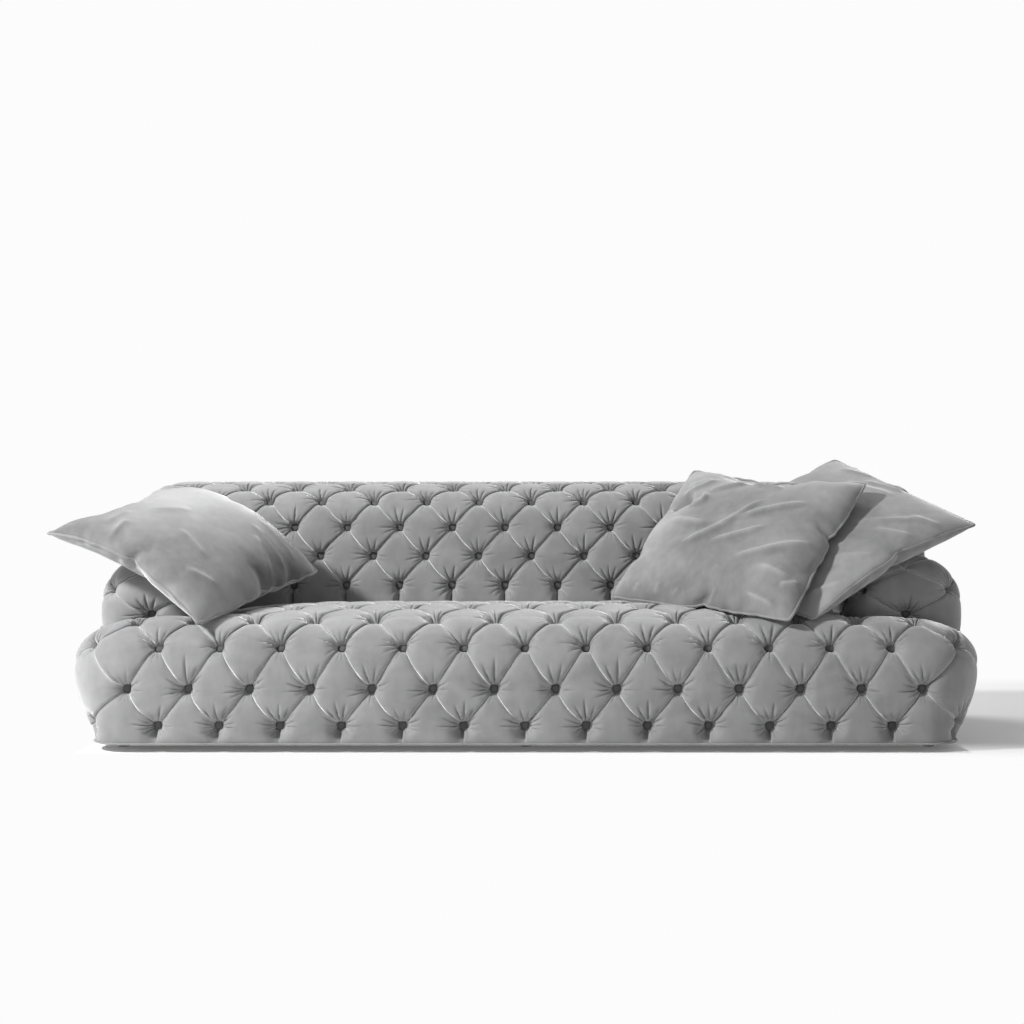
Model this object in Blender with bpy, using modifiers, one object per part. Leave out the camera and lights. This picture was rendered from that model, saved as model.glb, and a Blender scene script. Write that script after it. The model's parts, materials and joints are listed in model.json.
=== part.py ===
"""Button-tufted sofa with three loose scatter cushions.

Metres, +Z up. X runs along the sofa, the front faces -Y, and the origin is on the floor,
under the middle of the frame.
"""
import math
from collections import namedtuple

import bmesh
import bpy
import numpy as np
from mathutils import Matrix, Vector
from mathutils.bvhtree import BVHTree

# Overall form
BASE_WIDTH = 2.72
BASE_DEPTH = 1.10
DECK_HEIGHT = 0.375       # top of the base where the arms and the back stand
SEAT_HEIGHT = 0.418       # crown of the seat between the arms
ARM_HEIGHT = 0.575
BACK_HEIGHT = 0.806
FLOOR_GAP = 0.014         # from the floor to the hem of the base
UPPER_INSET = 0.015       # arms and back stand this far inside the widest part of the base
ARM_WIDTH = 0.355
ARM_SETBACK = 0.245       # from the front of the base to the front of the arms
BACK_DEPTH = 0.343        # of the back at its foot
BACK_LEAN = math.radians(7.0)

# Rounding of the upholstery
BELLY_HEIGHT = 0.25       # where the base is widest
LIP_CROWN = 4             # powers of the curves in which the seat falls away to its edges
SEAT_CROWN = 6
HEM_TUCK = 0.065          # how far the hem draws in below the belly
SEAT_ROLL = 0.18          # how far in the base rolls over to its top in front of the arms
SHOULDER_ROLL = 0.06      # and under the arms and the back
SHOULDER_RUN = 0.12       # behind the front of the arms, where one passes into the other
BASE_CORNER = 0.19        # plan radius of the base's corners
BACK_CORNER = 0.08
BACK_ROLL = 0.14
BACK_ROLL_DROP = 0.15     # height over which the back rounds off
ARM_CORNER = 0.10
ARM_ROLL = 0.17
ARM_ROLL_DROP = 0.155

# Tufting
SEAT_COLUMNS = 11         # half diamonds from the middle of the seat to an arm
CORNER_COLUMNS = 2        # more of them, from the line of the arm to the rounded corner
SEAT_ROWS = 4
REAR_ROWS = 3             # rows of the base under the back
ROW_HEIGHTS = (0.072, 0.183, 0.308)
SEAT_EDGE_TURN = math.radians(66.0)
BACK_ROWS = 5
BACK_FIRST_ROW = 0.083    # lowest row of buttons above the deck
BACK_TOP_DROP = 0.0615    # last row on the face, below the top of the back
BACK_EDGE_TURN = math.radians(60.0)
BACK_THICKNESS_ROWS = 3
ARM_COLUMNS = 4
ARM_ROWS = 6
ARM_ROW_HEIGHT = 0.099
ARM_EDGE_TURN = math.radians(45.0)
BUTTON_DEPTH = 0.034
PLEAT_DEPTH = 0.014

# Padding between the frame and the outside
BASE_PAD = 0.13
DECK_PAD = 0.075
BACK_PAD = 0.07
BACK_END_PAD = 0.13
BACK_TOP_PAD = 0.10
ARM_SIDE_PAD = 0.07
ARM_FRONT_PAD = 0.10
ARM_TOP_PAD = 0.10

# Frame
CLEARANCE = 0.0003
RAIL_THICKNESS = 0.04
RAIL_HEIGHT = 0.185
CROSS_RAIL_SPACING = 0.60
CORNER_BLOCK = 0.06
POST_SIZE = 0.05
BACK_POST_INSET = 0.1397  # from the end rails to the middle of the outer posts of the back
BACK_POST_PAIR = 0.84     # from one of its inner posts to the other
BACK_TOP_RAIL_HEIGHT = 0.06
ARM_POST_SETBACK = 0.13   # from the front of the arm to the middle of its front post
ARM_POST_ADVANCE = 0.137  # from the back to the middle of its rear post
ARM_BOARD_THICKNESS = 0.018
ARM_BOARD_DROP = 0.037    # from the padding to the board, filled with foam
STRAP_COUNT = 7
STRAP_INSET = 0.15        # from the outer posts of the back to the middle of the outer straps
STRAP_WIDTH = 0.07
STRAP_THICKNESS = 0.003
DUST_COVER_THICKNESS = 0.002

# Hardware
GLIDE_RADIUS = 0.02
GLIDE_EDGE = 0.003
STUD_RADIUS = 0.004
STUD_LENGTH = 0.022
BOLT_RADIUS = 0.004
BOLT_HEIGHT = 0.11
BOLT_HEAD_RADIUS = 0.01
BOLT_HEAD_HEIGHT = 0.005
BOLT_HEAD_FLAT = 0.006    # radius of the flat on top of the head
BOLT_HEAD_SIDE = 0.002
NUT_RADIUS = 0.0085
NUT_HEIGHT = 0.007
HOLE_CLEARANCE = 0.0005
TURNED_SIDES = 12

# Scatter cushions
CUSHION_SIZE = 0.65
CUSHION_CELLS = 6
CUSHION_EDGE = 0.008
CUSHION_DRAW = 0.07       # how much the sides draw in between the corners
CUSHION_SWELL = 0.6       # power of the curve from the seam to the middle
CUSHION_GAP = 0.0003      # left under a cushion that has settled

# How each one lies: its middle by the arm it lies on and the front of the base, the bearing and slope
# of two of its sides in degrees, how it bends, and how far its faces swell
Lie = namedtuple("Lie", "arm inboard setback first_side second_side arch droop upper_fill lower_fill")
LEFT_LIE = Lie(arm=-1, inboard=-0.092, setback=0.378, first_side=(161.1, 26.5), second_side=(63.5, 12.5),
               arch=0.085, droop=0.0, upper_fill=0.09, lower_fill=0.08)
RIGHT_REAR_LIE = Lie(arm=1, inboard=0.05, setback=0.409, first_side=(20.0, 26.5), second_side=(128.6, 20.3),
                     arch=0.07, droop=0.10, upper_fill=0.04, lower_fill=0.135)
RIGHT_FRONT_LIE = Lie(arm=1, inboard=0.318, setback=0.40, first_side=(52.0, 41.4), second_side=(144.5, 4.3),
                      arch=0.0, droop=0.0, upper_fill=0.12, lower_fill=-0.001)

# Worked out from the sizes above
HALF_WIDTH = BASE_WIDTH / 2
FRONT = -BASE_DEPTH / 2
REAR = BASE_DEPTH / 2
UPPER_HALF = HALF_WIDTH - UPPER_INSET
ARM_INNER = UPPER_HALF - ARM_WIDTH
ARM_FRONT = FRONT + ARM_SETBACK
BACK_REAR = REAR - UPPER_INSET
BACK_FRONT = BACK_REAR - BACK_DEPTH
CAVITY_X = HALF_WIDTH - BASE_PAD
CAVITY_Y = BASE_DEPTH / 2 - BASE_PAD
CAVITY_TOP = DECK_HEIGHT - DECK_PAD
FRAME_BOTTOM = FLOOR_GAP + DUST_COVER_THICKNESS + CLEARANCE
FRAME_TOP = FRAME_BOTTOM + RAIL_HEIGHT
RAIL_OUT_X = CAVITY_X - CLEARANCE
RAIL_OUT_Y = CAVITY_Y - CLEARANCE
RAIL_IN_X = RAIL_OUT_X - RAIL_THICKNESS
RAIL_IN_Y = RAIL_OUT_Y - RAIL_THICKNESS
OUTER_POST_X = RAIL_IN_X - BACK_POST_INSET
UP = Vector((0.0, 0.0, 1.0))
TINY = 1e-6
ON_LINE = 0.1             # share of a lattice step within which a point is on a line
PARALLEL = 1e-12          # edges whose plans cross by less than this run side by side

for leftover in list(bpy.data.objects):
    bpy.data.objects.remove(leftover)

PARTS = bpy.data.collections.new("button_tufted_sofa")
CUTTERS = bpy.data.collections.new("cutters")
bpy.context.scene.collection.children.link(PARTS)
bpy.context.scene.collection.children.link(CUTTERS)


def finish(name, colour, roughness, metallic=0.0):
    """A Principled material of one colour."""
    material = bpy.data.materials.new(name)
    material.use_nodes = True
    shader = material.node_tree.nodes["Principled BSDF"]
    shader.inputs["Base Color"].default_value = (*colour, 1.0)
    shader.inputs["Roughness"].default_value = roughness
    shader.inputs["Metallic"].default_value = metallic
    return material


VELVET = finish("grey_velvet", (0.26, 0.26, 0.265), 0.75)
CUSHION_VELVET = finish("grey_cushion_velvet", (0.27, 0.27, 0.275), 0.75)
TIMBER = finish("pine_timber", (0.56, 0.40, 0.24), 0.7)
FOAM = finish("cream_foam", (0.80, 0.74, 0.58), 0.9)
WEBBING = finish("jute_webbing", (0.36, 0.30, 0.22), 0.85)
DUST_CLOTH = finish("black_dust_cloth", (0.03, 0.03, 0.03), 0.9)
GLIDE_PLASTIC = finish("black_plastic", (0.02, 0.02, 0.02), 0.45)
STEEL = finish("zinc_steel", (0.62, 0.63, 0.65), 0.35, 1.0)


def add_part(name, mesh_builder, material):
    """Links a new object with the mesh of a bmesh, in the sofa's collection."""
    mesh = bpy.data.meshes.new(name)
    mesh_builder.to_mesh(mesh)
    mesh_builder.free()
    part = bpy.data.objects.new(name, mesh)
    part.data.materials.append(material)
    PARTS.objects.link(part)
    return part


def box_builder(low, high):
    """A cube stretched from one corner to the other."""
    builder = bmesh.new()
    low = Vector(low)
    size = Vector(high) - low
    bmesh.ops.create_cube(builder, size=1.0, matrix=Matrix.Translation((0.5, 0.5, 0.5)))
    bmesh.ops.scale(builder, vec=size, verts=builder.verts)
    bmesh.ops.translate(builder, vec=low, verts=builder.verts)
    return builder


def box_part(name, low, high, material):
    """A plain board, block or slab."""
    return add_part(name, box_builder(low, high), material)


def turned_part(name, profile, place, turn, material):
    """A profile of (radius, height) points, read down its outer side and turned about Z."""
    builder = bmesh.new()
    points = [builder.verts.new((radius, 0.0, height)) for radius, height in profile]
    for upper, lower in zip(points, points[1:]):
        builder.edges.new((upper, lower))
    part = add_part(name, builder, material)
    part.location = place
    part.rotation_euler = turn
    screw = part.modifiers.new("turn", "SCREW")
    screw.steps = TURNED_SIDES
    screw.render_steps = TURNED_SIDES
    screw.use_merge_vertices = True
    screw.merge_threshold = 0.00001
    return part


def add_cutter(name, builder):
    """A hidden object that others are cut by."""
    cutter = add_part(name, builder, TIMBER)
    PARTS.objects.unlink(cutter)
    CUTTERS.objects.link(cutter)
    cutter.hide_render = True
    cutter.display_type = "WIRE"
    return cutter


def cut(part, cutter):
    """Takes the cutter's shape out of a part."""
    boolean = part.modifiers.new(cutter.name, "BOOLEAN")
    boolean.operation = "DIFFERENCE"
    boolean.object = cutter


def hole_cutter(name, start, end, radius):
    """A round hole between two points."""
    builder = bmesh.new()
    start = Vector(start)
    run = Vector(end) - start
    turn = run.to_track_quat("Z", "Y").to_matrix().to_4x4()
    middle = Matrix.Translation(start + run / 2)
    bmesh.ops.create_cone(builder, cap_ends=True, segments=TURNED_SIDES, radius1=radius, radius2=radius,
                          depth=run.length, matrix=middle @ turn)
    return add_cutter(name, builder)


def lattice_box(counts):
    """A cube in lattice steps, cut along every line."""
    builder = bmesh.new()
    bmesh.ops.create_cube(builder, size=1.0, matrix=Matrix.Translation((0.5, 0.5, 0.5)))
    bmesh.ops.scale(builder, vec=counts, verts=builder.verts)
    for axis, count in enumerate(counts):
        normal = Vector((0.0, 0.0, 0.0))
        normal[axis] = 1.0
        for line in range(1, count):
            everything = builder.verts[:] + builder.edges[:] + builder.faces[:]
            bmesh.ops.bisect_plane(builder, geom=everything, dist=TINY, plane_co=normal * line,
                                   plane_no=normal)
    return builder


def tufted_box(counts, is_padded, place):
    """A lattice box with a plain underside and a point added in each padded cell, all put in place."""
    builder = lattice_box(counts)
    underside = [face for face in builder.faces if face.calc_center_median().z < TINY]
    bmesh.ops.dissolve_faces(builder, faces=underside, use_verts=False)
    padded = [face for face in builder.faces if is_padded(face.calc_center_median())]
    bmesh.ops.poke(builder, faces=padded)
    for vert in builder.verts:
        vert.co = place(vert.co.copy())
    bmesh.ops.triangulate(builder, faces=builder.faces[:])
    bmesh.ops.recalc_face_normals(builder, faces=builder.faces[:])
    return builder


def between(lines, index):
    """The place of a lattice line, or of a point between two lines."""
    low = min(int(index + TINY), len(lines) - 2)
    return lines[low] + (lines[low + 1] - lines[low]) * (index - low)


def spread(start, end, count):
    """Lattice lines at even steps, both ends included."""
    return [start + (end - start) * step / count for step in range(count + 1)]


def is_button(index, parity):
    """True on the lattice points that are buttoned, in a checkerboard."""
    whole = [round(value) for value in index]
    on_point = all(abs(value - nearest) < ON_LINE for value, nearest in zip(index, whole))
    return on_point and sum(whole) % 2 == parity


def is_cell_middle(index):
    """True on the point in the middle of a cell, which lies on a pleat."""
    return sum(abs(value - round(value)) > ON_LINE for value in index) == 2


def rounded_outline(x, y, low, high, radius):
    """Point and outward direction on a rectangle with round corners, from one on its square edge."""
    core_x = min(max(x, low[0] + radius), high[0] - radius)
    core_y = min(max(y, low[1] + radius), high[1] - radius)
    outward = Vector((x - core_x, y - core_y, 0.0)).normalized()
    return Vector((core_x, core_y, 0.0)) + outward * radius, outward


def column_lines(half_width):
    """Tufting columns along the sofa: even between the arms, then on to the ends."""
    step = ARM_INNER / SEAT_COLUMNS
    reach = SEAT_COLUMNS + CORNER_COLUMNS
    return [-half_width] + [step * column for column in range(-reach, reach + 1)] + [half_width]


# Base
BASE_COLUMNS = column_lines(HALF_WIDTH)
BASE_LINES = ([FRONT] + spread(ARM_FRONT, BACK_FRONT, SEAT_ROWS)
              + spread(BACK_FRONT, REAR, REAR_ROWS)[1:])
BASE_LEVELS = [FLOOR_GAP] + list(ROW_HEIGHTS)
BASE_COUNTS = (len(BASE_COLUMNS) - 1, len(BASE_LINES) - 1, len(BASE_LEVELS))


def seat_level(x, y):
    """Height of the base's top: crowned where it shows, flat under the arms and the back."""
    beside_arm = y >= ARM_FRONT - TINY
    reach = ARM_INNER if beside_arm else HALF_WIDTH
    across = 1.0 - min(abs(x) / reach, 1.0) ** (SEAT_CROWN if beside_arm else LIP_CROWN)
    along = max(0.0, y - ARM_FRONT) / (BACK_FRONT - ARM_FRONT)
    return DECK_HEIGHT + (SEAT_HEIGHT - DECK_HEIGHT) * across * max(0.0, 1.0 - along ** LIP_CROWN)


def base_section(level, y, top):
    """Inset, height and tilt of the side of the base at a level of the lattice."""
    rise = top - BELLY_HEIGHT
    behind = min(max((y - ARM_FRONT) / SHOULDER_RUN, 0.0), 1.0)
    roll = SEAT_ROLL + (SHOULDER_ROLL - SEAT_ROLL) * behind
    last = len(BASE_LEVELS) - 1
    if level <= last:
        height = between(BASE_LEVELS, level)
        if height < BELLY_HEIGHT:
            tuck = (BELLY_HEIGHT - height) / (BELLY_HEIGHT - FLOOR_GAP)
            return HEM_TUCK * tuck ** 2, height, 0.0
        turn = math.asin(min(1.0, (height - BELLY_HEIGHT) / rise))
    else:
        start = math.asin(min(1.0, (BASE_LEVELS[last] - BELLY_HEIGHT) / rise))
        turn = start + (SEAT_EDGE_TURN - start) * (level - last)
    return roll * (1.0 - math.cos(turn)), BELLY_HEIGHT + rise * math.sin(turn), turn


def on_side(index, counts):
    """True on the four sides of a lattice box."""
    return any(value < TINY or value > count - TINY for value, count in zip(index[:2], counts[:2]))


def base_is_padded(index):
    """Cells of the sides, and those of the top that show."""
    if index.z < BASE_COUNTS[2] - TINY:
        return index.z > TINY
    x = between(BASE_COLUMNS, index.x)
    y = between(BASE_LINES, index.y)
    return seat_level(x, y) > DECK_HEIGHT + CLEARANCE


def base_point(index):
    """Where a lattice point of the base lies, with its tuft."""
    x = between(BASE_COLUMNS, index.x)
    y = between(BASE_LINES, index.y)
    top = seat_level(x, y)
    if on_side(index, BASE_COUNTS):
        rim, outward = rounded_outline(x, y, (-HALF_WIDTH, FRONT), (HALF_WIDTH, REAR), BASE_CORNER)
        inset, height, tilt = base_section(index.z, y, top)
        point = rim - outward * inset + UP * height
        inward = -(outward * math.cos(tilt) + UP * math.sin(tilt))
    else:
        point = Vector((x, y, top))
        inward = -UP
        if top < DECK_HEIGHT + CLEARANCE:
            return point
    if index.z < TINY:
        under_button = is_button(index + UP, 1)
        return point + inward * (PLEAT_DEPTH if under_button else 0.0)
    if is_button(index, 1):
        return point + inward * BUTTON_DEPTH
    return point + inward * (PLEAT_DEPTH if is_cell_middle(index) else 0.0)


def post_slots():
    """Footprints of the eight posts that rise through the base, by the name of the post."""
    slots = {}
    inner_post = BACK_POST_PAIR / 2
    for number, place in enumerate((-OUTER_POST_X, -inner_post, inner_post, OUTER_POST_X), start=1):
        low = (place - POST_SIZE / 2, RAIL_IN_Y - CLEARANCE - POST_SIZE)
        slots[f"back_post_{number}"] = (low, (low[0] + POST_SIZE, low[1] + POST_SIZE))
    for side, sign in (("left", -1), ("right", 1)):
        outer = RAIL_IN_X - CLEARANCE
        edges = sorted((sign * outer, sign * (outer - POST_SIZE)))
        for end, middle in (("front", ARM_FRONT + ARM_POST_SETBACK), ("rear", BACK_FRONT - ARM_POST_ADVANCE)):
            low_y = middle - POST_SIZE / 2
            slots[f"{side}_arm_{end}_post"] = ((edges[0], low_y), (edges[1], low_y + POST_SIZE))
    return slots


POST_SLOTS = post_slots()


def build_base_cover():
    """The tufted slab, hollowed for the frame and the seat foam, and slotted for the posts."""
    cover = add_part("base_cover", tufted_box(BASE_COUNTS, base_is_padded, base_point), VELVET)
    hollow = box_builder((-CAVITY_X, -CAVITY_Y, -FLOOR_GAP), (CAVITY_X, CAVITY_Y, CAVITY_TOP))
    cut(cover, add_cutter("base_hollow", hollow))
    for name, (low, high) in POST_SLOTS.items():
        slot_low = (low[0] - CLEARANCE, low[1] - CLEARANCE, CAVITY_TOP - RAIL_THICKNESS)
        slot_high = (high[0] + CLEARANCE, high[1] + CLEARANCE, DECK_HEIGHT + RAIL_THICKNESS)
        cut(cover, add_cutter(f"{name}_slot", box_builder(slot_low, slot_high)))
    return cover


# Back
BACK_COLUMNS = column_lines(UPPER_HALF)
BACK_FOOT = DECK_HEIGHT + CLEARANCE
BACK_LEVELS = [BACK_FOOT] + spread(DECK_HEIGHT + BACK_FIRST_ROW, BACK_HEIGHT - BACK_TOP_DROP,
                                   BACK_ROWS - 2)
BACK_COUNTS = (len(BACK_COLUMNS) - 1, BACK_THICKNESS_ROWS, BACK_ROWS)


def back_front(height):
    """Front plane of the back, which leans away with height."""
    return BACK_FRONT + CLEARANCE + math.tan(BACK_LEAN) * (height - DECK_HEIGHT)


def back_point(index):
    """Where a lattice point of the back lies, with its tuft."""
    last = len(BACK_LEVELS) - 1
    foot = BACK_HEIGHT - BACK_ROLL_DROP
    if index.z <= last:
        height = between(BACK_LEVELS, index.z)
        tilt = math.asin(min(1.0, max(0.0, (height - foot) / BACK_ROLL_DROP)))
    else:
        start = math.asin(min(1.0, max(0.0, (BACK_LEVELS[last] - foot) / BACK_ROLL_DROP)))
        tilt = start + (BACK_EDGE_TURN - start) * (index.z - last)
        height = foot + BACK_ROLL_DROP * math.sin(tilt)
    inset = BACK_ROLL * (1.0 - math.cos(tilt)) if tilt > 0.0 else 0.0
    front = back_front(height)
    x = between(BACK_COLUMNS, index.x)
    share = index.y / BACK_COUNTS[1]
    if on_side(index, BACK_COUNTS):
        y = front + (BACK_REAR - front) * share
        rim, outward = rounded_outline(x, y, (-UPPER_HALF, front), (UPPER_HALF, BACK_REAR), BACK_CORNER)
        point = rim - outward * inset + UP * height
        inward = -(outward * math.cos(tilt) + UP * math.sin(tilt))
    else:
        start = front + inset
        point = Vector((x, start + (BACK_REAR - inset - start) * share, BACK_HEIGHT))
        inward = -UP
    if index.z < TINY:
        under_button = is_button(index + UP, 0)
        return point + inward * (PLEAT_DEPTH if under_button else 0.0)
    if is_button(index, 0):
        return point + inward * BUTTON_DEPTH
    return point + inward * (PLEAT_DEPTH if is_cell_middle(index) else 0.0)


def back_is_padded(index):
    """Every cell but those of the underside."""
    return index.z > TINY


BACK_HOLLOW_TOP = BACK_HEIGHT - BACK_TOP_PAD
BACK_HOLLOW_X = UPPER_HALF - BACK_END_PAD


def leaning_slab(low_x, high_x, front_offset, rear, bottom, top):
    """A slab whose front face leans with the back."""
    builder = box_builder((low_x, 0.0, bottom), (high_x, 1.0, top))
    for vert in builder.verts:
        vert.co.y = rear if vert.co.y > 0.5 else back_front(vert.co.z) + front_offset
    return builder


def build_back():
    """Posts, top rail, foam and tufted cover of the back."""
    cover = add_part("back_cover", tufted_box(BACK_COUNTS, back_is_padded, back_point), VELVET)
    hollow = leaning_slab(-BACK_HOLLOW_X, BACK_HOLLOW_X, BACK_PAD, CAVITY_Y, BACK_FOOT - BACK_PAD,
                          BACK_HOLLOW_TOP)
    cut(cover, add_cutter("back_hollow", hollow))
    rail_top = BACK_HOLLOW_TOP - CLEARANCE
    rail_bottom = rail_top - BACK_TOP_RAIL_HEIGHT
    post_front = RAIL_IN_Y - CLEARANCE - POST_SIZE
    for name, (low, high) in POST_SLOTS.items():
        if name.startswith("back"):
            box_part(name, (*low, FRAME_BOTTOM), (*high, rail_bottom - CLEARANCE), TIMBER)
    rail_reach = BACK_HOLLOW_X - CLEARANCE
    box_part("back_top_rail", (-rail_reach, post_front, rail_bottom),
             (rail_reach, post_front + POST_SIZE, rail_top), TIMBER)
    foam = leaning_slab(-rail_reach, rail_reach, BACK_PAD + CLEARANCE, post_front - CLEARANCE,
                        DECK_HEIGHT + CLEARANCE, rail_top)
    add_part("back_foam", foam, FOAM)
    return cover


# Arms
ARM_COUNTS = (ARM_COLUMNS, ARM_ROWS, 2)
ARM_LOW_X = ARM_INNER + CLEARANCE
ARM_LEVELS = (DECK_HEIGHT + CLEARANCE, DECK_HEIGHT + ARM_ROW_HEIGHT)


def dome(distance):
    """Share of the roll's height at a distance in from its edge."""
    return math.sqrt(1.0 - (1.0 - min(distance / ARM_ROLL, 1.0)) ** 2)


def arm_point(index):
    """Where a lattice point of the right arm lies, with its tuft."""
    foot = ARM_HEIGHT - ARM_ROLL_DROP
    if index.z <= 1.0:
        height = between(ARM_LEVELS, index.z)
        tilt = math.asin(min(1.0, max(0.0, (height - foot) / ARM_ROLL_DROP)))
    else:
        start = math.asin(min(1.0, max(0.0, (ARM_LEVELS[1] - foot) / ARM_ROLL_DROP)))
        tilt = start + (ARM_EDGE_TURN - start) * (index.z - 1.0)
        height = foot + ARM_ROLL_DROP * math.sin(tilt)
    inset = ARM_ROLL * (1.0 - math.cos(tilt)) if tilt > 0.0 else 0.0
    x = ARM_LOW_X + (UPPER_HALF - ARM_LOW_X) * index.x / ARM_COLUMNS
    share = index.y / ARM_ROWS
    y_front = ARM_FRONT + CLEARANCE
    at_rear = index.y > ARM_ROWS - TINY
    across = index.x < TINY or index.x > ARM_COLUMNS - TINY
    inside = TINY < index.x < ARM_COLUMNS - TINY and index.z > 2.0 - TINY
    if inside and index.y > TINY:
        edge = min(x - ARM_LOW_X, UPPER_HALF - x)
        height = foot + ARM_ROLL_DROP * dome(edge) * dome((back_front(height) - y_front) * share)
        rear = back_front(height) - 2 * CLEARANCE
        point = Vector((x, y_front + (rear - y_front) * share, height))
        inward = -UP
    else:
        rear = back_front(height) - 2 * CLEARANCE
        y = y_front + (rear - y_front) * share
        if at_rear and not across:
            return Vector((x, rear, height))
        high = (UPPER_HALF, rear + 2 * ARM_CORNER)
        rim, outward = rounded_outline(x, y, (ARM_LOW_X, y_front), high, ARM_CORNER)
        point = rim - outward * inset + UP * height
        inward = -(outward * math.cos(tilt) + UP * math.sin(tilt))
    if at_rear:
        return point
    if is_button(index, 0):
        return point + inward * BUTTON_DEPTH
    return point + inward * (PLEAT_DEPTH if is_cell_middle(index) else 0.0)


def arm_is_padded(index):
    """Every cell but those of the underside and of the end against the back."""
    return index.z > TINY and index.y < ARM_ROWS - TINY


def mirrored(builder, sign):
    """Turns a right-hand shape into a left-hand one where the sign is negative."""
    if sign < 0:
        bmesh.ops.scale(builder, vec=(-1.0, 1.0, 1.0), verts=builder.verts)
        bmesh.ops.reverse_faces(builder, faces=builder.faces[:])
    return builder


def build_arm(side, sign):
    """Posts, top board, foam and tufted cover of one arm."""
    shape = tufted_box(ARM_COUNTS, arm_is_padded, arm_point)
    cover = add_part(f"{side}_arm_cover", mirrored(shape, sign), VELVET)
    low_x = ARM_LOW_X + ARM_SIDE_PAD
    high_x = UPPER_HALF - ARM_SIDE_PAD
    low_y = ARM_FRONT + ARM_FRONT_PAD
    high_y = BACK_FRONT - ARM_SIDE_PAD
    top = ARM_HEIGHT - ARM_TOP_PAD
    hollow = box_builder((low_x, low_y, DECK_HEIGHT - ARM_TOP_PAD), (high_x, high_y, top))
    cut(cover, add_cutter(f"{side}_arm_hollow", mirrored(hollow, sign)))
    board_top = top - ARM_BOARD_DROP
    board_bottom = board_top - ARM_BOARD_THICKNESS
    inner_low = (low_x + CLEARANCE, low_y + CLEARANCE)
    inner_high = (high_x - CLEARANCE, high_y - CLEARANCE)
    board = box_builder((*inner_low, board_bottom), (*inner_high, board_top))
    add_part(f"{side}_arm_board", mirrored(board, sign), TIMBER)
    foam = box_builder((*inner_low, board_top + CLEARANCE), (*inner_high, top - CLEARANCE))
    add_part(f"{side}_arm_foam", mirrored(foam, sign), FOAM)
    for end in ("front", "rear"):
        name = f"{side}_arm_{end}_post"
        low, high = POST_SLOTS[name]
        box_part(name, (*low, FRAME_BOTTOM), (*high, board_bottom - CLEARANCE), TIMBER)
    return cover


def build_frame():
    """Rails, cross rails, corner blocks, straps, seat foam and dust cover of the base."""
    for name, sign in (("front", -1), ("rear", 1)):
        edges = sorted((sign * RAIL_IN_Y, sign * RAIL_OUT_Y))
        box_part(f"{name}_rail", (-RAIL_OUT_X, edges[0], FRAME_BOTTOM),
                 (RAIL_OUT_X, edges[1], FRAME_TOP), TIMBER)
    reach = RAIL_IN_Y - CLEARANCE
    for name, sign in (("left", -1), ("right", 1)):
        edges = sorted((sign * RAIL_IN_X, sign * RAIL_OUT_X))
        box_part(f"{name}_rail", (edges[0], -reach, FRAME_BOTTOM), (edges[1], reach, FRAME_TOP), TIMBER)
    for number in (-1, 0, 1):
        middle = number * CROSS_RAIL_SPACING
        low = (middle - RAIL_THICKNESS / 2, -reach, FRAME_BOTTOM)
        box_part(f"cross_rail_{number + 2}", low, (middle + RAIL_THICKNESS / 2, reach, FRAME_TOP), TIMBER)
    for side, sign_x in (("left", -1), ("right", 1)):
        for end, sign_y in (("front", -1), ("rear", 1)):
            corner_x = RAIL_IN_X - CLEARANCE
            edges_x = sorted((sign_x * corner_x, sign_x * (corner_x - CORNER_BLOCK)))
            edges_y = sorted((sign_y * reach, sign_y * (reach - CORNER_BLOCK)))
            box_part(f"{end}_{side}_corner_block", (edges_x[0], edges_y[0], FRAME_BOTTOM),
                     (edges_x[1], edges_y[1], FRAME_TOP), TIMBER)
    strap_bottom = FRAME_TOP + CLEARANCE
    strap_top = strap_bottom + STRAP_THICKNESS
    outer_strap = OUTER_POST_X - STRAP_INSET
    for number, middle in enumerate(spread(-outer_strap, outer_strap, STRAP_COUNT - 1), start=1):
        box_part(f"seat_strap_{number}", (middle - STRAP_WIDTH / 2, -RAIL_OUT_Y, strap_bottom),
                 (middle + STRAP_WIDTH / 2, RAIL_OUT_Y, strap_top), WEBBING)
    foam_x = RAIL_IN_X - POST_SIZE - 2 * CLEARANCE
    foam_rear = RAIL_IN_Y - POST_SIZE - 2 * CLEARANCE
    box_part("seat_foam", (-foam_x, -RAIL_OUT_Y, strap_top + CLEARANCE),
             (foam_x, foam_rear, CAVITY_TOP - CLEARANCE), FOAM)
    return box_part("dust_cover", (-RAIL_OUT_X, -RAIL_OUT_Y, FLOOR_GAP),
                    (RAIL_OUT_X, RAIL_OUT_Y, FLOOR_GAP + DUST_COVER_THICKNESS), DUST_CLOTH)


def build_glides(dust_cover):
    """Seven turned glides, each with a stud through the dust cover into a rail."""
    rail_x = RAIL_OUT_X - RAIL_THICKNESS / 2
    rail_y = RAIL_OUT_Y - RAIL_THICKNESS / 2
    places = {"centre_glide": (0.0, 0.0, "cross_rail_2")}
    for end, sign_y in (("front", -1), ("rear", 1)):
        for side, sign_x in (("left", -1), ("middle", 0), ("right", 1)):
            places[f"{end}_{side}_glide"] = (sign_x * rail_x, sign_y * rail_y, f"{end}_rail")
    disc_top = FLOOR_GAP - CLEARANCE
    stud_top = FRAME_BOTTOM + STUD_LENGTH
    profile = ((0.0, stud_top), (STUD_RADIUS, stud_top), (STUD_RADIUS, disc_top), (GLIDE_RADIUS, disc_top),
               (GLIDE_RADIUS, GLIDE_EDGE), (GLIDE_RADIUS - GLIDE_EDGE, 0.0), (0.0, 0.0))
    for name, (x, y, rail) in places.items():
        turned_part(name, profile, (x, y, 0.0), (0.0, 0.0, 0.0), GLIDE_PLASTIC)
        hole = hole_cutter(f"{name}_hole", (x, y, 0.0), (x, y, stud_top + CLEARANCE),
                           STUD_RADIUS + HOLE_CLEARANCE)
        cut(dust_cover, hole)
        cut(PARTS.objects[rail], hole)


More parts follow.
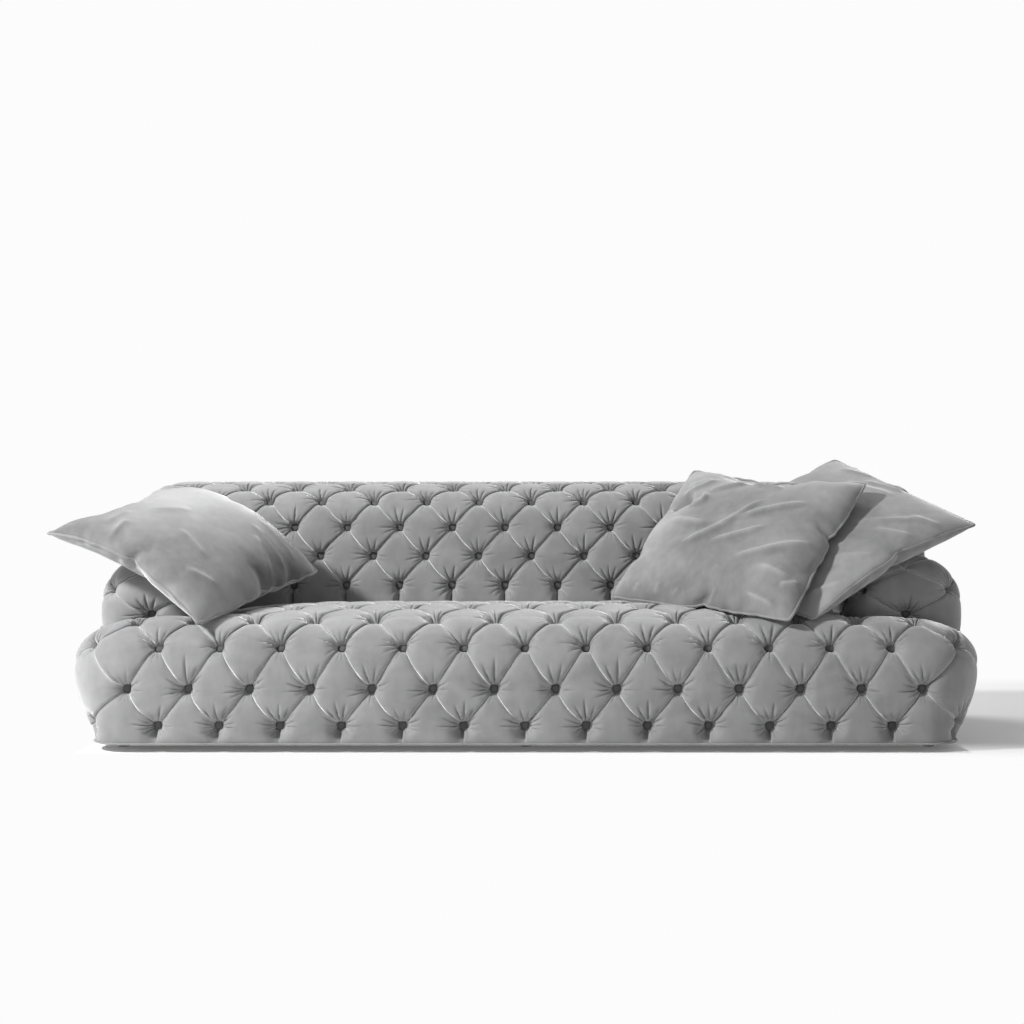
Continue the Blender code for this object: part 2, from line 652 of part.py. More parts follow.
def build_bolts():
    """A bolt through each post and the rail it stands against, with its head sunk in the rail."""
    length = RAIL_THICKNESS + CLEARANCE + POST_SIZE
    sink = BOLT_HEAD_HEIGHT + HOLE_CLEARANCE
    nut_top = sink - length - CLEARANCE
    nut_bottom = sink - length - NUT_HEIGHT
    profile = ((0.0, BOLT_HEAD_HEIGHT), (BOLT_HEAD_FLAT, BOLT_HEAD_HEIGHT),
               (BOLT_HEAD_RADIUS, BOLT_HEAD_SIDE), (BOLT_HEAD_RADIUS, 0.0), (BOLT_RADIUS, 0.0),
               (BOLT_RADIUS, nut_top), (NUT_RADIUS, nut_top), (NUT_RADIUS, nut_bottom), (0.0, nut_bottom))
    for name, (low, high) in POST_SLOTS.items():
        middle = Vector(((low[0] + high[0]) / 2, (low[1] + high[1]) / 2, BOLT_HEIGHT))
        if name.startswith("back"):
            rail, outward, turn = "rear_rail", Vector((0.0, 1.0, 0.0)), (-math.pi / 2, 0.0, 0.0)
            face = Vector((middle.x, RAIL_OUT_Y, BOLT_HEIGHT))
        else:
            sign = math.copysign(1.0, middle.x)
            rail = "left_rail" if sign < 0 else "right_rail"
            outward, turn = Vector((sign, 0.0, 0.0)), (0.0, sign * math.pi / 2, 0.0)
            face = Vector((sign * RAIL_OUT_X, middle.y, BOLT_HEIGHT))
        seat = face - outward * (sink - CLEARANCE)
        turned_part(f"{name}_bolt", profile, seat, turn, STEEL)
        past = outward * NUT_HEIGHT
        hole = hole_cutter(f"{name}_bolt_hole", face + past, face - outward * length - past,
                           BOLT_RADIUS + HOLE_CLEARANCE)
        cut(PARTS.objects[rail], hole)
        cut(PARTS.objects[name], hole)
        recess = hole_cutter(f"{name}_bolt_recess", face + past, face - outward * sink,
                             BOLT_HEAD_RADIUS + HOLE_CLEARANCE)
        cut(PARTS.objects[rail], recess)


def heading(bearing, slope):
    """Unit direction with a plan bearing from +X and a slope up from level, in degrees."""
    level = math.cos(math.radians(slope))
    return Vector((level * math.cos(math.radians(bearing)), level * math.sin(math.radians(bearing)),
                   math.sin(math.radians(slope))))


def evaluated_mesh(part):
    """World-space points, edges and triangle tree of an object with its modifiers."""
    bpy.context.view_layer.update()
    graph = bpy.context.evaluated_depsgraph_get()
    shown = part.evaluated_get(graph)
    builder = bmesh.new()
    builder.from_mesh(shown.to_mesh())
    builder.transform(part.matrix_world)
    bmesh.ops.triangulate(builder, faces=builder.faces[:])
    builder.verts.index_update()
    points = np.array([vert.co[:] for vert in builder.verts])
    edges = np.array([[edge.verts[0].index, edge.verts[1].index] for edge in builder.edges])
    tree = BVHTree.FromBMesh(builder)
    builder.free()
    shown.to_mesh_clear()
    return points, edges, tree


def drop_height(upper, lower):
    """How far one solid can fall before it meets another that lies below it."""
    upper_points, upper_edges, upper_tree = evaluated_mesh(upper)
    lower_points, lower_edges, lower_tree = evaluated_mesh(lower)
    least = math.inf
    for point in upper_points:
        hit = lower_tree.ray_cast(Vector((point[0], point[1], 2 * BACK_HEIGHT)), -UP)[0]
        if hit is not None:
            least = min(least, point[2] - hit.z)
    for point in lower_points:
        hit = upper_tree.ray_cast(Vector((point[0], point[1], -BACK_HEIGHT)), UP)[0]
        if hit is not None:
            least = min(least, hit.z - point[2])
    low, high = upper_points.min(axis=0), upper_points.max(axis=0)
    ends = lower_points[lower_edges]
    near = np.all((ends.max(axis=1) > low)[:, :2], axis=1) & np.all((ends.min(axis=1) < high)[:, :2], axis=1)
    start, run = ends[near][:, 0], ends[near][:, 1] - ends[near][:, 0]
    for first, second in upper_points[upper_edges]:
        step = second - first
        cross = step[0] * run[:, 1] - step[1] * run[:, 0]
        crosses = np.abs(cross) > PARALLEL
        cross = np.where(crosses, cross, 1.0)
        offset = start - first
        along_upper = (offset[:, 0] * run[:, 1] - offset[:, 1] * run[:, 0]) / cross
        along_lower = (offset[:, 0] * step[1] - offset[:, 1] * step[0]) / cross
        met = crosses & (along_upper >= 0) & (along_upper <= 1) & (along_lower >= 0) & (along_lower <= 1)
        if met.any():
            gaps = first[2] + along_upper * step[2] - start[:, 2] - along_lower * run[:, 2]
            least = min(least, gaps[met].min())
    return least


def cushion_point(index, lie):
    """Where a lattice point of a cushion lies, seen from the cushion's middle.

    Its sides run in two headings. It arches along the first of them over what it lies on, and the
    corner at the start of the first side and the end of the second one hangs by the droop.
    """
    side_a = heading(*lie.first_side) * CUSHION_SIZE / 2
    side_b = heading(*lie.second_side) * CUSHION_SIZE / 2
    normal = side_a.cross(side_b).normalized()
    normal *= math.copysign(1.0, normal.z)
    u = 2 * index.x / CUSHION_CELLS - 1
    v = 2 * index.y / CUSHION_CELLS - 1
    drawn_u = u * (1 - CUSHION_DRAW * (1 - v * v))
    drawn_v = v * (1 - CUSHION_DRAW * (1 - u * u))
    swell = ((1 - u * u) * (1 - v * v)) ** CUSHION_SWELL
    if index.z > 0.5:
        height = CUSHION_EDGE / 2 + lie.upper_fill * swell
    else:
        height = -CUSHION_EDGE / 2 - lie.lower_fill * swell
    sag = lie.droop * (1 - u) * (1 + v) / 4 + lie.arch * u * u
    return side_a * drawn_u + side_b * drawn_v + normal * height - UP * sag


def build_cushion(name, lie, supports):
    """A plump square cushion, drawn in between its corners, lowered until it rests on its supports."""
    builder = lattice_box((CUSHION_CELLS, CUSHION_CELLS, 1))
    for vert in builder.verts:
        vert.co = cushion_point(vert.co.copy(), lie)
    bmesh.ops.recalc_face_normals(builder, faces=builder.faces[:])
    cushion = add_part(name, builder, CUSHION_VELVET)
    smooth = cushion.modifiers.new("smooth", "SUBSURF")
    smooth.levels = 1
    smooth.render_levels = 1
    cushion.data.shade_smooth()
    cushion.location = (lie.arm * (ARM_INNER - lie.inboard), FRONT + lie.setback, 2 * BACK_HEIGHT)
    fall = min(drop_height(cushion, support) for support in supports)
    cushion.location.z -= fall - CUSHION_GAP
    return cushion


def build_cushions(base, back, left_arm, right_arm):
    """One cushion over the left arm, and two over the right arm, one on the other."""
    build_cushion("left_cushion", LEFT_LIE, (base, back, left_arm))
    rear = build_cushion("right_rear_cushion", RIGHT_REAR_LIE, (base, back, right_arm))
    build_cushion("right_front_cushion", RIGHT_FRONT_LIE, (base, back, right_arm, rear))


def main():
    """Builds the sofa from the frame out, then lays the cushions on it."""
    dust_cover = build_frame()
    base = build_base_cover()
    back = build_back()
    left_arm = build_arm("left", -1)
    right_arm = build_arm("right", 1)
    build_glides(dust_cover)
    build_bolts()
    build_cushions(base, back, left_arm, right_arm)


main()
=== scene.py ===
"""Looks of a button-tufted velvet sofa with three scatter cushions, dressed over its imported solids.

Units are metres, +Z is up and the sofa faces -Y. The tufted covers are lattices of diamonds, shaped in
lattice steps and then laid over the sofa's round forms. The cushions are stuffed by cloth simulation.
"""
from __future__ import annotations

import json
import logging
import math
from dataclasses import dataclass, field
from enum import Enum

import bpy
import numpy as np
from mathutils import Matrix, Vector

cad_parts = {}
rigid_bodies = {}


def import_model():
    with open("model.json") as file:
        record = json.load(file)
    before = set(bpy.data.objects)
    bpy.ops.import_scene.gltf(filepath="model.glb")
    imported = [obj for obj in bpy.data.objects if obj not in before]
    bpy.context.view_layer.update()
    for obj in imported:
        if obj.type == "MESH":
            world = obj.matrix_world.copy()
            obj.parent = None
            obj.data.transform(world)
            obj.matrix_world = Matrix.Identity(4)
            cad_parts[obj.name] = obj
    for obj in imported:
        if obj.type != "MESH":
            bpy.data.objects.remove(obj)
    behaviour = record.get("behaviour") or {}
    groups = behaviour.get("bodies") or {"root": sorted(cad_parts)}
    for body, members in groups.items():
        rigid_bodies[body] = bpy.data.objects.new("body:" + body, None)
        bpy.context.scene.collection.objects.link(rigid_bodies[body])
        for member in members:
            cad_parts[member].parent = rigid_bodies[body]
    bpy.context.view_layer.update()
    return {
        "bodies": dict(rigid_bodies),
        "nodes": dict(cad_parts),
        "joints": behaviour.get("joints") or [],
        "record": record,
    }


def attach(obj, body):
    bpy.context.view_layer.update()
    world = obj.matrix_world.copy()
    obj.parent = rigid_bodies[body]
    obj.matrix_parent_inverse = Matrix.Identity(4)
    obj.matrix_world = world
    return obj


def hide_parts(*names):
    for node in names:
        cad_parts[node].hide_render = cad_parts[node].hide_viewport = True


LOG = logging.getLogger("tufted_sofa")
ON_LINE = 1e-4
IMAGE_PIXELS = 1024
FULL_TURN = 6.28
TUBE_RESOLUTION = 2
OPAQUE_WHITE = (1.0, 1.0, 1.0, 1.0)
FOLD_DRAW = 2.0                    # added to a cover's seed for each kind of random number
BUTTON_DRAW = 5.0
PUFF_DRAW = 9.0

Array = np.ndarray
Socket = bpy.types.NodeSocket
Triple = tuple[float, float, float]


class Slot(Enum):
    """Material slots of the record."""

    VELVET = "velvet"
    CUSHION_VELVET = "cushion_velvet"
    TIMBER = "timber"
    FOAM = "foam"
    WEBBING = "webbing"
    DUST_CLOTH = "dust_cloth"
    PLASTIC = "plastic"
    STEEL = "steel"


class Body(Enum):
    """Bodies that pieces ride on."""

    ROOT = "root"
    LEFT = "left_cushion"
    RIGHT_REAR = "right_rear_cushion"
    RIGHT_FRONT = "right_front_cushion"


class Axis(Enum):
    """Directions of a tufting lattice."""

    ACROSS = 0
    BACKWARDS = 1
    UPWARDS = 2


# Small tools


def smooth_step(value: Array) -> Array:
    """Eases from 0 to 1 while the value goes from 0 to 1."""
    share = np.clip(value, 0.0, 1.0)
    return share * share * (3.0 - 2.0 * share)


def scatter(first: Array, second: Array, seed: float) -> Array:
    """Repeatable numbers from 0 to 1, one for each pair of lattice steps."""
    mixed = np.sin(first * 12.9898 + second * 78.233 + seed * 3.7) * 43758.5453
    return mixed - np.floor(mixed)


def off_line(steps: Array) -> Array:
    """How near a place is to a pleat line: 1 on the line, 0 half way to the next one."""
    return np.abs(2.0 * (steps - np.floor(steps)) - 1.0)


def deselect() -> None:
    """Leaves edit mode and deselects everything."""
    if bpy.context.object is not None and bpy.context.object.mode != "OBJECT":
        bpy.ops.object.mode_set(mode="OBJECT")
    bpy.ops.object.select_all(action="DESELECT")


def make_active(piece: bpy.types.Object) -> None:
    """Selects one object alone and makes it the active one."""
    deselect()
    piece.select_set(True)
    bpy.context.view_layer.objects.active = piece


def rows_of(items: bpy.types.bpy_prop_collection, name: str) -> Array:
    """A vector that each of many items has, one row each."""
    flat = np.empty(len(items) * 3, dtype=np.float32)
    items.foreach_get(name, flat)
    return flat.reshape(-1, 3).astype(float)


def points_of(mesh: bpy.types.Mesh) -> Array:
    """The places of a mesh's points, one row each."""
    return rows_of(mesh.vertices, "co")


def move_points(mesh: bpy.types.Mesh, points: Array) -> None:
    """Puts a mesh's points in new places."""
    mesh.vertices.foreach_set("co", points.astype(np.float32).ravel())
    mesh.update()


def smooth_faces(mesh: bpy.types.Mesh) -> None:
    """Shades all of a mesh smooth."""
    mesh.polygons.foreach_set("use_smooth", np.ones(len(mesh.polygons), dtype=bool))


def at_lines(steps: Array, values: Array | tuple[float, ...]) -> Array:
    """Values at lattice steps, from one value for each lattice line."""
    return np.interp(steps, np.arange(len(values)), values)


def join(pieces: list[bpy.types.Object], name: str) -> bpy.types.Object:
    """Joins objects into one.

    Args:
        pieces: the objects, which are used up.
        name: name of the result and its mesh.

    Returns:
        The joined object.
    """
    deselect()
    for piece in pieces:
        piece.select_set(True)
    bpy.context.view_layer.objects.active = pieces[0]
    bpy.ops.object.join()
    joined = bpy.context.object
    joined.name = name
    joined.data.name = name
    return joined


def apply_modifier(piece: bpy.types.Object, modifier: bpy.types.Modifier) -> None:
    """Applies a modifier to its object's mesh."""
    make_active(piece)
    bpy.ops.object.modifier_apply(modifier=modifier.name)


def tube_along(path: Array, radius: float, name: str) -> bpy.types.Object:
    """A closed round cord along a loop of points.

    Args:
        path: the loop's points in order.
        radius: of the cord.
        name: of the piece.

    Returns:
        The cord as a mesh at the origin.
    """
    curve = bpy.data.curves.new(name, "CURVE")
    curve.dimensions = "3D"
    curve.bevel_depth = radius
    curve.bevel_resolution = TUBE_RESOLUTION
    spline = curve.splines.new("POLY")
    spline.points.add(len(path) - 1)
    weighted = np.column_stack((path, np.ones(len(path))))
    spline.points.foreach_set("co", weighted.astype(np.float32).ravel())
    spline.use_cyclic_u = True
    cord = bpy.data.objects.new(name, curve)
    bpy.context.scene.collection.objects.link(cord)
    make_active(cord)
    bpy.ops.object.convert(target="MESH")
    cord = bpy.context.object
    cord.data.name = name
    smooth_faces(cord.data)
    return cord


def hand_over(piece: bpy.types.Object, body: Body, material: bpy.types.Material) -> None:
    """Dresses a finished piece and sets it on its body."""
    piece.data.materials.clear()
    piece.data.materials.append(material)
    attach(piece, body.value)
    LOG.info("%s: %d faces on %s", piece.name, len(piece.data.polygons), body.value)


# Finishes


class Nodes:
    """A node tree, with short ways to add and link nodes."""

    def __init__(self, tree: bpy.types.NodeTree) -> None:
        """Empties the tree."""
        self.tree = tree
        tree.nodes.clear()

    def add(self, kind: str, **values: float | tuple | str) -> bpy.types.Node:
        """Adds a node and sets its settings and inputs.

        Args:
            kind: type name of the node.
            values: settings by name, or inputs by name with underscores for spaces.

        Returns:
            The node.
        """
        node = self.tree.nodes.new(kind)
        for key, value in values.items():
            if hasattr(node, key):
                setattr(node, key, value)
            else:
                node.inputs[key.replace("_", " ")].default_value = value
        return node

    def feed(self, target: Socket, value: Socket | float | tuple) -> None:
        """Links a socket to an input, or sets the input."""
        if isinstance(value, Socket):
            self.tree.links.new(value, target)
        else:
            target.default_value = value

    def apply(self, kind: str, *values: Socket | float | tuple, output: int | str = 0,
              **settings: str) -> Socket:
        """One output of a node that is fed with values in order."""
        node = self.add(kind, **settings)
        for target, value in zip(node.inputs, values):
            self.feed(target, value)
        return node.outputs[output]

    def math(self, operation: str, *values: Socket | float) -> Socket:
        """A Math node on sockets or plain numbers."""
        return self.apply("ShaderNodeMath", *values, operation=operation)

    def remap(self, value: Socket, low: float, high: float, to_low: float = 0.0, to_high: float = 1.0,
              **settings: str) -> Socket:
        """Maps a range of a value onto another, clamped."""
        return self.apply("ShaderNodeMapRange", value, low, high, to_low, to_high, **settings)

    def parts(self, vector: Socket) -> bpy.types.bpy_prop_collection:
        """The three parts of a vector."""
        node = self.add("ShaderNodeSeparateXYZ")
        self.feed(node.inputs[0], vector)
        return node.outputs

    def coordinates(self, kind: str) -> Socket:
        """Texture coordinates."""
        return self.add("ShaderNodeTexCoord").outputs[kind]

    def attribute(self, name: str, output: str) -> Socket:
        """A value that the mesh carries."""
        return self.add("ShaderNodeAttribute", attribute_name=name).outputs[output]

    def mix_out(self, share: Socket, first: Socket, second: Socket, output: str) -> None:
        """Mixes two shaders into the tree's output."""
        mixed = self.apply("ShaderNodeMixShader", share, first, second)
        self.feed(self.add(output).inputs["Surface"], mixed)


class Recipe(Nodes):
    """A material round a Principled shader."""

    def __init__(self, name: str) -> None:
        """Starts the material."""
        self.material = bpy.data.materials.new(name)
        self.material.use_nodes = True
        super().__init__(self.material.node_tree)
        self.shader = self.add("ShaderNodeBsdfPrincipled")
        self.feed(self.add("ShaderNodeOutputMaterial").inputs["Surface"], self.shader.outputs["BSDF"])
        self.place = self.coordinates("Object")

    def shade(self, name: str, value: Socket | float) -> None:
        """Feeds an input of the shader."""
        self.feed(self.shader.inputs[name], value)

    def noise(self, scale: float, detail: float, stretch: Triple = (1.0, 1.0, 1.0),
              distortion: float = 0.0) -> Socket:
        """Noise over Object coordinates.

        Args:
            scale: waves in a metre.
            detail: octaves.
            stretch: scale of each axis.
            distortion: how far the noise is swirled.

        Returns:
            The socket of its value.
        """
        mapping = self.add("ShaderNodeMapping", Scale=stretch)
        self.feed(mapping.inputs["Vector"], self.place)
        texture = self.add("ShaderNodeTexNoise", Scale=scale, Detail=detail, Distortion=distortion)
        self.feed(texture.inputs["Vector"], mapping.outputs["Vector"])
        return texture.outputs["Fac"]

    def blend(self, share: Socket, first: Triple | Socket, second: Triple) -> Socket:
        """Mixes two colours by a value."""
        node = self.add("ShaderNodeMix", data_type="RGBA")
        for socket, colour in ((6, first), (7, second)):
            self.feed(node.inputs[socket], (*colour, 1.0) if isinstance(colour, tuple) else colour)
        self.feed(node.inputs["Factor"], share)
        return node.outputs[2]

    def sum_of(self, *terms: tuple[Socket, float]) -> Socket:
        """Adds values, each times its weight."""
        total: Socket | float = 0.0
        for value, weight in terms:
            total = self.math("MULTIPLY_ADD", value, weight, total)
        return total

    def bump(self, height: Socket, strength: float, distance: float) -> None:
        """Raises the surface by a height texture."""
        node = self.add("ShaderNodeBump", Strength=strength, Distance=distance)
        self.feed(node.inputs["Height"], height)
        self.shade("Normal", node.outputs["Normal"])


@dataclass(frozen=True)
class Velvet:
    """Pile with sheen where it turns away, and with painted light and shade in its folds and patches."""

    name: str
    dark: Triple
    light: Triple
    sheen: float
    patch_scale: float = 7.0
    has_gathers: bool = False
    has_painted_light: bool = False
    sheen_roughness: float = 0.38
    specular: float = 0.15
    relief: float = 0.004
    gather_painted_shade: float = -2.0     # painted shade: how far the colour darkens in a gather
    rising_pleat_painted_shade: float = -0.8      # and painted shade in a rising pleat
    # Painted highlight: a lighter colour mixed in along the falling pleats
    painted_highlight: Triple = (0.55, 0.55, 0.553)
    painted_highlight_share: float = 0.75      # share of the painted highlight along a falling pleat
    line: float = 0.0012           # length in which a pleat's line fades above it
    line_below: float = 0.0035     # how much longer it is below
    even: float = 0.35             # base shade under the painted light and shade of the cushions
    patches_left: float = 0.3      # how much of the patches shows there

    def gather_lines(self, recipe: Recipe) -> Socket:
        """Thin folds that fan out round each button, from the cloth's own attributes.

        Args:
            recipe: the material's node tree.

        Returns:
            The socket of their depth, from 0 to 1.
        """
        around = recipe.parts(recipe.attribute("gather", "Vector"))
        shape = recipe.parts(recipe.attribute("gather_shape", "Vector"))
        angle = recipe.math("ARCTAN2", around[1], around[0])
        sway = recipe.math("SINE", recipe.sum_of((angle, 2.0), (shape[1], FULL_TURN)))
        wave = recipe.sum_of((angle, 0.5 * Padding.gather_folds), (around[2], FULL_TURN),
                             (sway, Padding.gather_sway))
        ridge = recipe.math("SUBTRACT", 1.0, recipe.math("ABSOLUTE", recipe.math("SINE", wave)))
        return recipe.math("MULTIPLY", recipe.math("POWER", ridge, 4.0), shape[0])

    def pleat_lines(self, recipe: Recipe) -> list[Socket]:
        """Thin steps along the pleats, steep on the side that overlaps.

        Args:
            recipe: the material's node tree.

        Returns:
            The sockets of their depth, from 0 to 1, for falling and for rising pleats.
        """
        counts = recipe.parts(recipe.attribute("pleat", "Vector"))
        steps = []
        for count, upwards in ((counts[0], 1.0), (counts[1], -1.0)):
            offset = recipe.math("SUBTRACT", count, recipe.math("ROUND", count))
            offset = recipe.math("MULTIPLY", offset, upwards * Padding.spacing)
            under = recipe.math("LESS_THAN", offset, 0.0)
            width = recipe.math("ADD", recipe.math("MULTIPLY", under, self.line_below), self.line)
            away = recipe.math("DIVIDE", recipe.math("ABSOLUTE", offset), width)
            step = recipe.math("POWER", math.e, recipe.math("MULTIPLY", away, -1.0))
            steps.append(recipe.math("MULTIPLY", step, counts[2]))
        return steps

    def material(self) -> bpy.types.Material:
        """The finish as a material."""
        recipe = Recipe(self.name)
        patches = recipe.noise(self.patch_scale, 3.0, (1.0, 1.0, 1.6), 0.6)
        pile_streaks_and_painted_light = recipe.noise(38.0, 2.0, (1.0, 1.0, 0.45), 0.3)
        fibres = recipe.noise(1500.0, 2.0)
        pile_tone_and_painted_light = recipe.sum_of((patches, 0.62), (pile_streaks_and_painted_light, 0.26), (fibres, 0.12))
        shade = recipe.remap(pile_tone_and_painted_light, 0.36, 0.64)
        relief = recipe.sum_of((fibres, 0.15), (pile_streaks_and_painted_light, 0.15))
        if self.has_gathers:
            lines = self.gather_lines(recipe)
            falling, rising = self.pleat_lines(recipe)
            # Painted shade: a darker colour in the gathers and the rising pleats
            shade = recipe.sum_of((shade, 1.0), (lines, self.gather_painted_shade), (rising, self.rising_pleat_painted_shade))
            pleats = recipe.math("MAXIMUM", falling, rising)
            relief = recipe.sum_of((relief, 1.0), (lines, -1.0), (pleats, -1.0))
        # Painted light and shade carried by the mesh: patches and highlights on fold crests
        if self.has_painted_light:
            with_painted_light = recipe.sum_of((shade, self.patches_left), (recipe.attribute("pile_tone_and_painted_light", "Fac"), 1.0))
            shade = recipe.math("ADD", with_painted_light, self.even)
        colour = recipe.blend(recipe.remap(shade, 0.0, 1.0), self.dark, self.light)
        # Painted highlight: a lighter colour along the falling pleats
        if self.has_gathers:
            share = recipe.remap(falling, 0.0, 1.0, 0.0, self.painted_highlight_share)
            colour = recipe.blend(share, colour, self.painted_highlight)
        recipe.shade("Base Color", colour)
        recipe.shade("Roughness", recipe.remap(patches, 0.3, 0.7, 0.78, 0.92))
        recipe.bump(relief, 0.8, self.relief)
        recipe.shade("Specular IOR Level", self.specular)
        recipe.shade("Sheen Weight", self.sheen)
        recipe.shade("Sheen Roughness", self.sheen_roughness)
        return recipe.material


@dataclass(frozen=True)
class Timber:
    """Planed softwood with grain along its length."""

    name: str = "planed_pine"
    dark: Triple = (0.44, 0.28, 0.14)
    light: Triple = (0.66, 0.48, 0.29)

    def material(self) -> bpy.types.Material:
        """The finish as a material."""
        recipe = Recipe(self.name)
        grain = recipe.noise(9.0, 6.0, (1.0, 1.0, 6.0), 1.2)
        pores = recipe.noise(160.0, 2.0, (0.3, 0.3, 1.0))
        recipe.shade("Base Color", recipe.blend(recipe.remap(grain, 0.35, 0.65), self.dark, self.light))
        recipe.shade("Roughness", recipe.remap(grain, 0.3, 0.7, 0.55, 0.75))
        recipe.bump(recipe.sum_of((grain, 0.4), (pores, 0.6)), 0.3, 0.001)
        return recipe.material


@dataclass(frozen=True)
class Grained:
    """A plain stuff with two tones and a fine relief: foam, cloth, webbing, plastic or steel."""

    name: str
    first: Triple
    second: Triple
    scale: float
    roughness: float
    relief: float
    stretch: Triple = (1.0, 1.0, 1.0)
    metallic: float = 0.0

    def material(self) -> bpy.types.Material:
        """The finish as a material."""
        recipe = Recipe(self.name)
        tone = recipe.noise(self.scale * 0.2, 3.0, self.stretch)
        fine = recipe.noise(self.scale, 2.0, self.stretch)
        recipe.shade("Base Color", recipe.blend(recipe.remap(tone, 0.35, 0.65), self.first, self.second))
        low = max(self.roughness - 0.08, 0.05)
        recipe.shade("Roughness", recipe.remap(fine, 0.3, 0.7, low, self.roughness + 0.05))
        recipe.bump(fine, 0.3, self.relief)
        recipe.shade("Metallic", self.metallic)
        return recipe.material


COVER_VELVET = Velvet("grey_velvet", (0.215, 0.215, 0.218), (0.285, 0.285, 0.288), 1.0, has_gathers=True)
# Painted shade: the buttons' velvet is much darker than the cover's, for the shade in their pits, with
# little sheen
SHADED_BUTTON_VELVET = Velvet("grey_button_velvet_painted_shade", (0.08, 0.08, 0.082), (0.12, 0.12, 0.122), 0.15)
# Its wide range of tone holds the cushions' painted light and shade
CUSHION_VELVET = Velvet("grey_cushion_velvet", (0.09, 0.09, 0.091), (0.40, 0.40, 0.403), 0.9, 5.0,
                        has_painted_light=True)
FRAME_FINISHES = {
    Slot.TIMBER: Timber(),
    Slot.FOAM: Grained("cream_foam", (0.74, 0.67, 0.50), (0.84, 0.78, 0.62), 400.0, 0.9, 0.002),
    Slot.WEBBING: Grained("jute_webbing", (0.30, 0.24, 0.17), (0.42, 0.35, 0.26), 500.0, 0.85, 0.001,
                          (1.0, 0.2, 1.0)),
    Slot.DUST_CLOTH: Grained("black_dust_cloth", (0.022, 0.022, 0.022), (0.04, 0.04, 0.04), 900.0, 0.9,
                             0.0006),
    Slot.PLASTIC: Grained("black_plastic", (0.016, 0.016, 0.016), (0.026, 0.026, 0.026), 600.0, 0.45,
                          0.0002),
    Slot.STEEL: Grained("zinc_steel", (0.56, 0.57, 0.59), (0.68, 0.69, 0.71), 300.0, 0.32, 0.0001,
                        metallic=1.0),
}


def dress_frame(frame: dict) -> None:
    """Gives the carried-over solids of the frame their finishes.
    """
    materials = {slot: finish.material() for slot, finish in FRAME_FINISHES.items()}
    for row in frame["record"]["subparts"]:
        slot = Slot(row["material_slot"])
        if slot in materials:
            mesh = frame["nodes"][row["node"]].data
            mesh.materials.clear()
            mesh.materials.append(materials[slot])


# Tufting


@dataclass(frozen=True)
class Padding:
    """How the stuffing swells between buttons, in metres."""

    lift: float = 0.002            # of the cloth at a pleat over the plain form
    crown: float = 0.003           # of a puff over its pleats
    unevenness: float = 0.002      # from one puff to the next
    pit: float = 0.032             # of the cloth at a button
    pit_reach: float = 0.019
    pit_power: float = 1.3
    pit_end: float = 0.03          # where a pit starts to run out, and the length in which it does
    valley: float = 0.0015         # soft dip along a pleat
    valley_width: float = 0.010
    fold: float = 0.0055           # step of the cloth above a pleat over the cloth below
    fold_above: float = 0.0018
    fold_below: float = 0.0060
    spacing: float = 0.143         # between pleats
    flute: float = 0.034           # of the upright pleats by the lower edge
    flute_width: float = 0.026
    flute_spacing: float = 0.18
    flute_far: float = 0.25        # share of its depth on the far side
    flute_fade: float = 0.5        # share that its fold loses at the lower edge
    flute_flat: float = 0.6        # share that the whole pleat loses there
    flute_start: float = 0.45      # lattice steps in which the diamonds turn into upright pleats
    well: float = 0.014            # round each button, below its pit
    well_radius: float = 0.0165
    well_power: int = 6
    slump: float = 0.008           # of the cloth to the left of a button
    slump_reach: float = 0.030
    slump_side: float = math.radians(155.0)
    bow: float = 0.07              # how far falling pleats sag, in lattice steps
    bow_start: float = 0.7         # lattice steps over a fluted edge where they start to sag
    bow_ease: float = 0.8          # lattice steps in from an edge where they sag in full
    gather: float = 0.014          # depth of the thin folds round a button
    gather_folds: int = 15
    gather_power: float = 3.0
    gather_sway: float = 0.6
    gather_side: float = 1.9       # where they are longest, in radians
    gather_start: float = 0.008    # from the button's middle
    gather_rise: float = 0.007
    gather_hold: float = 0.015     # from where they fade
    gather_margin: float = 0.16    # of half a diamond, in which they run out
    gather_length: tuple[float, float] = (0.042, 0.050)    # the least, and what chance adds
    gather_reach: tuple[float, float] = (0.42, 0.75)       # share of it, and what the long side adds
    gather_depth: tuple[float, float] = (0.35, 0.65)       # share of the depth, by side
    gather_odds: tuple[float, float] = (0.3, 0.7)          # share of the depth, by chance
    gather_chance: float = 1.6     # how soon chance makes a fold deep
    hidden: float = -0.012         # where another cover presses it down


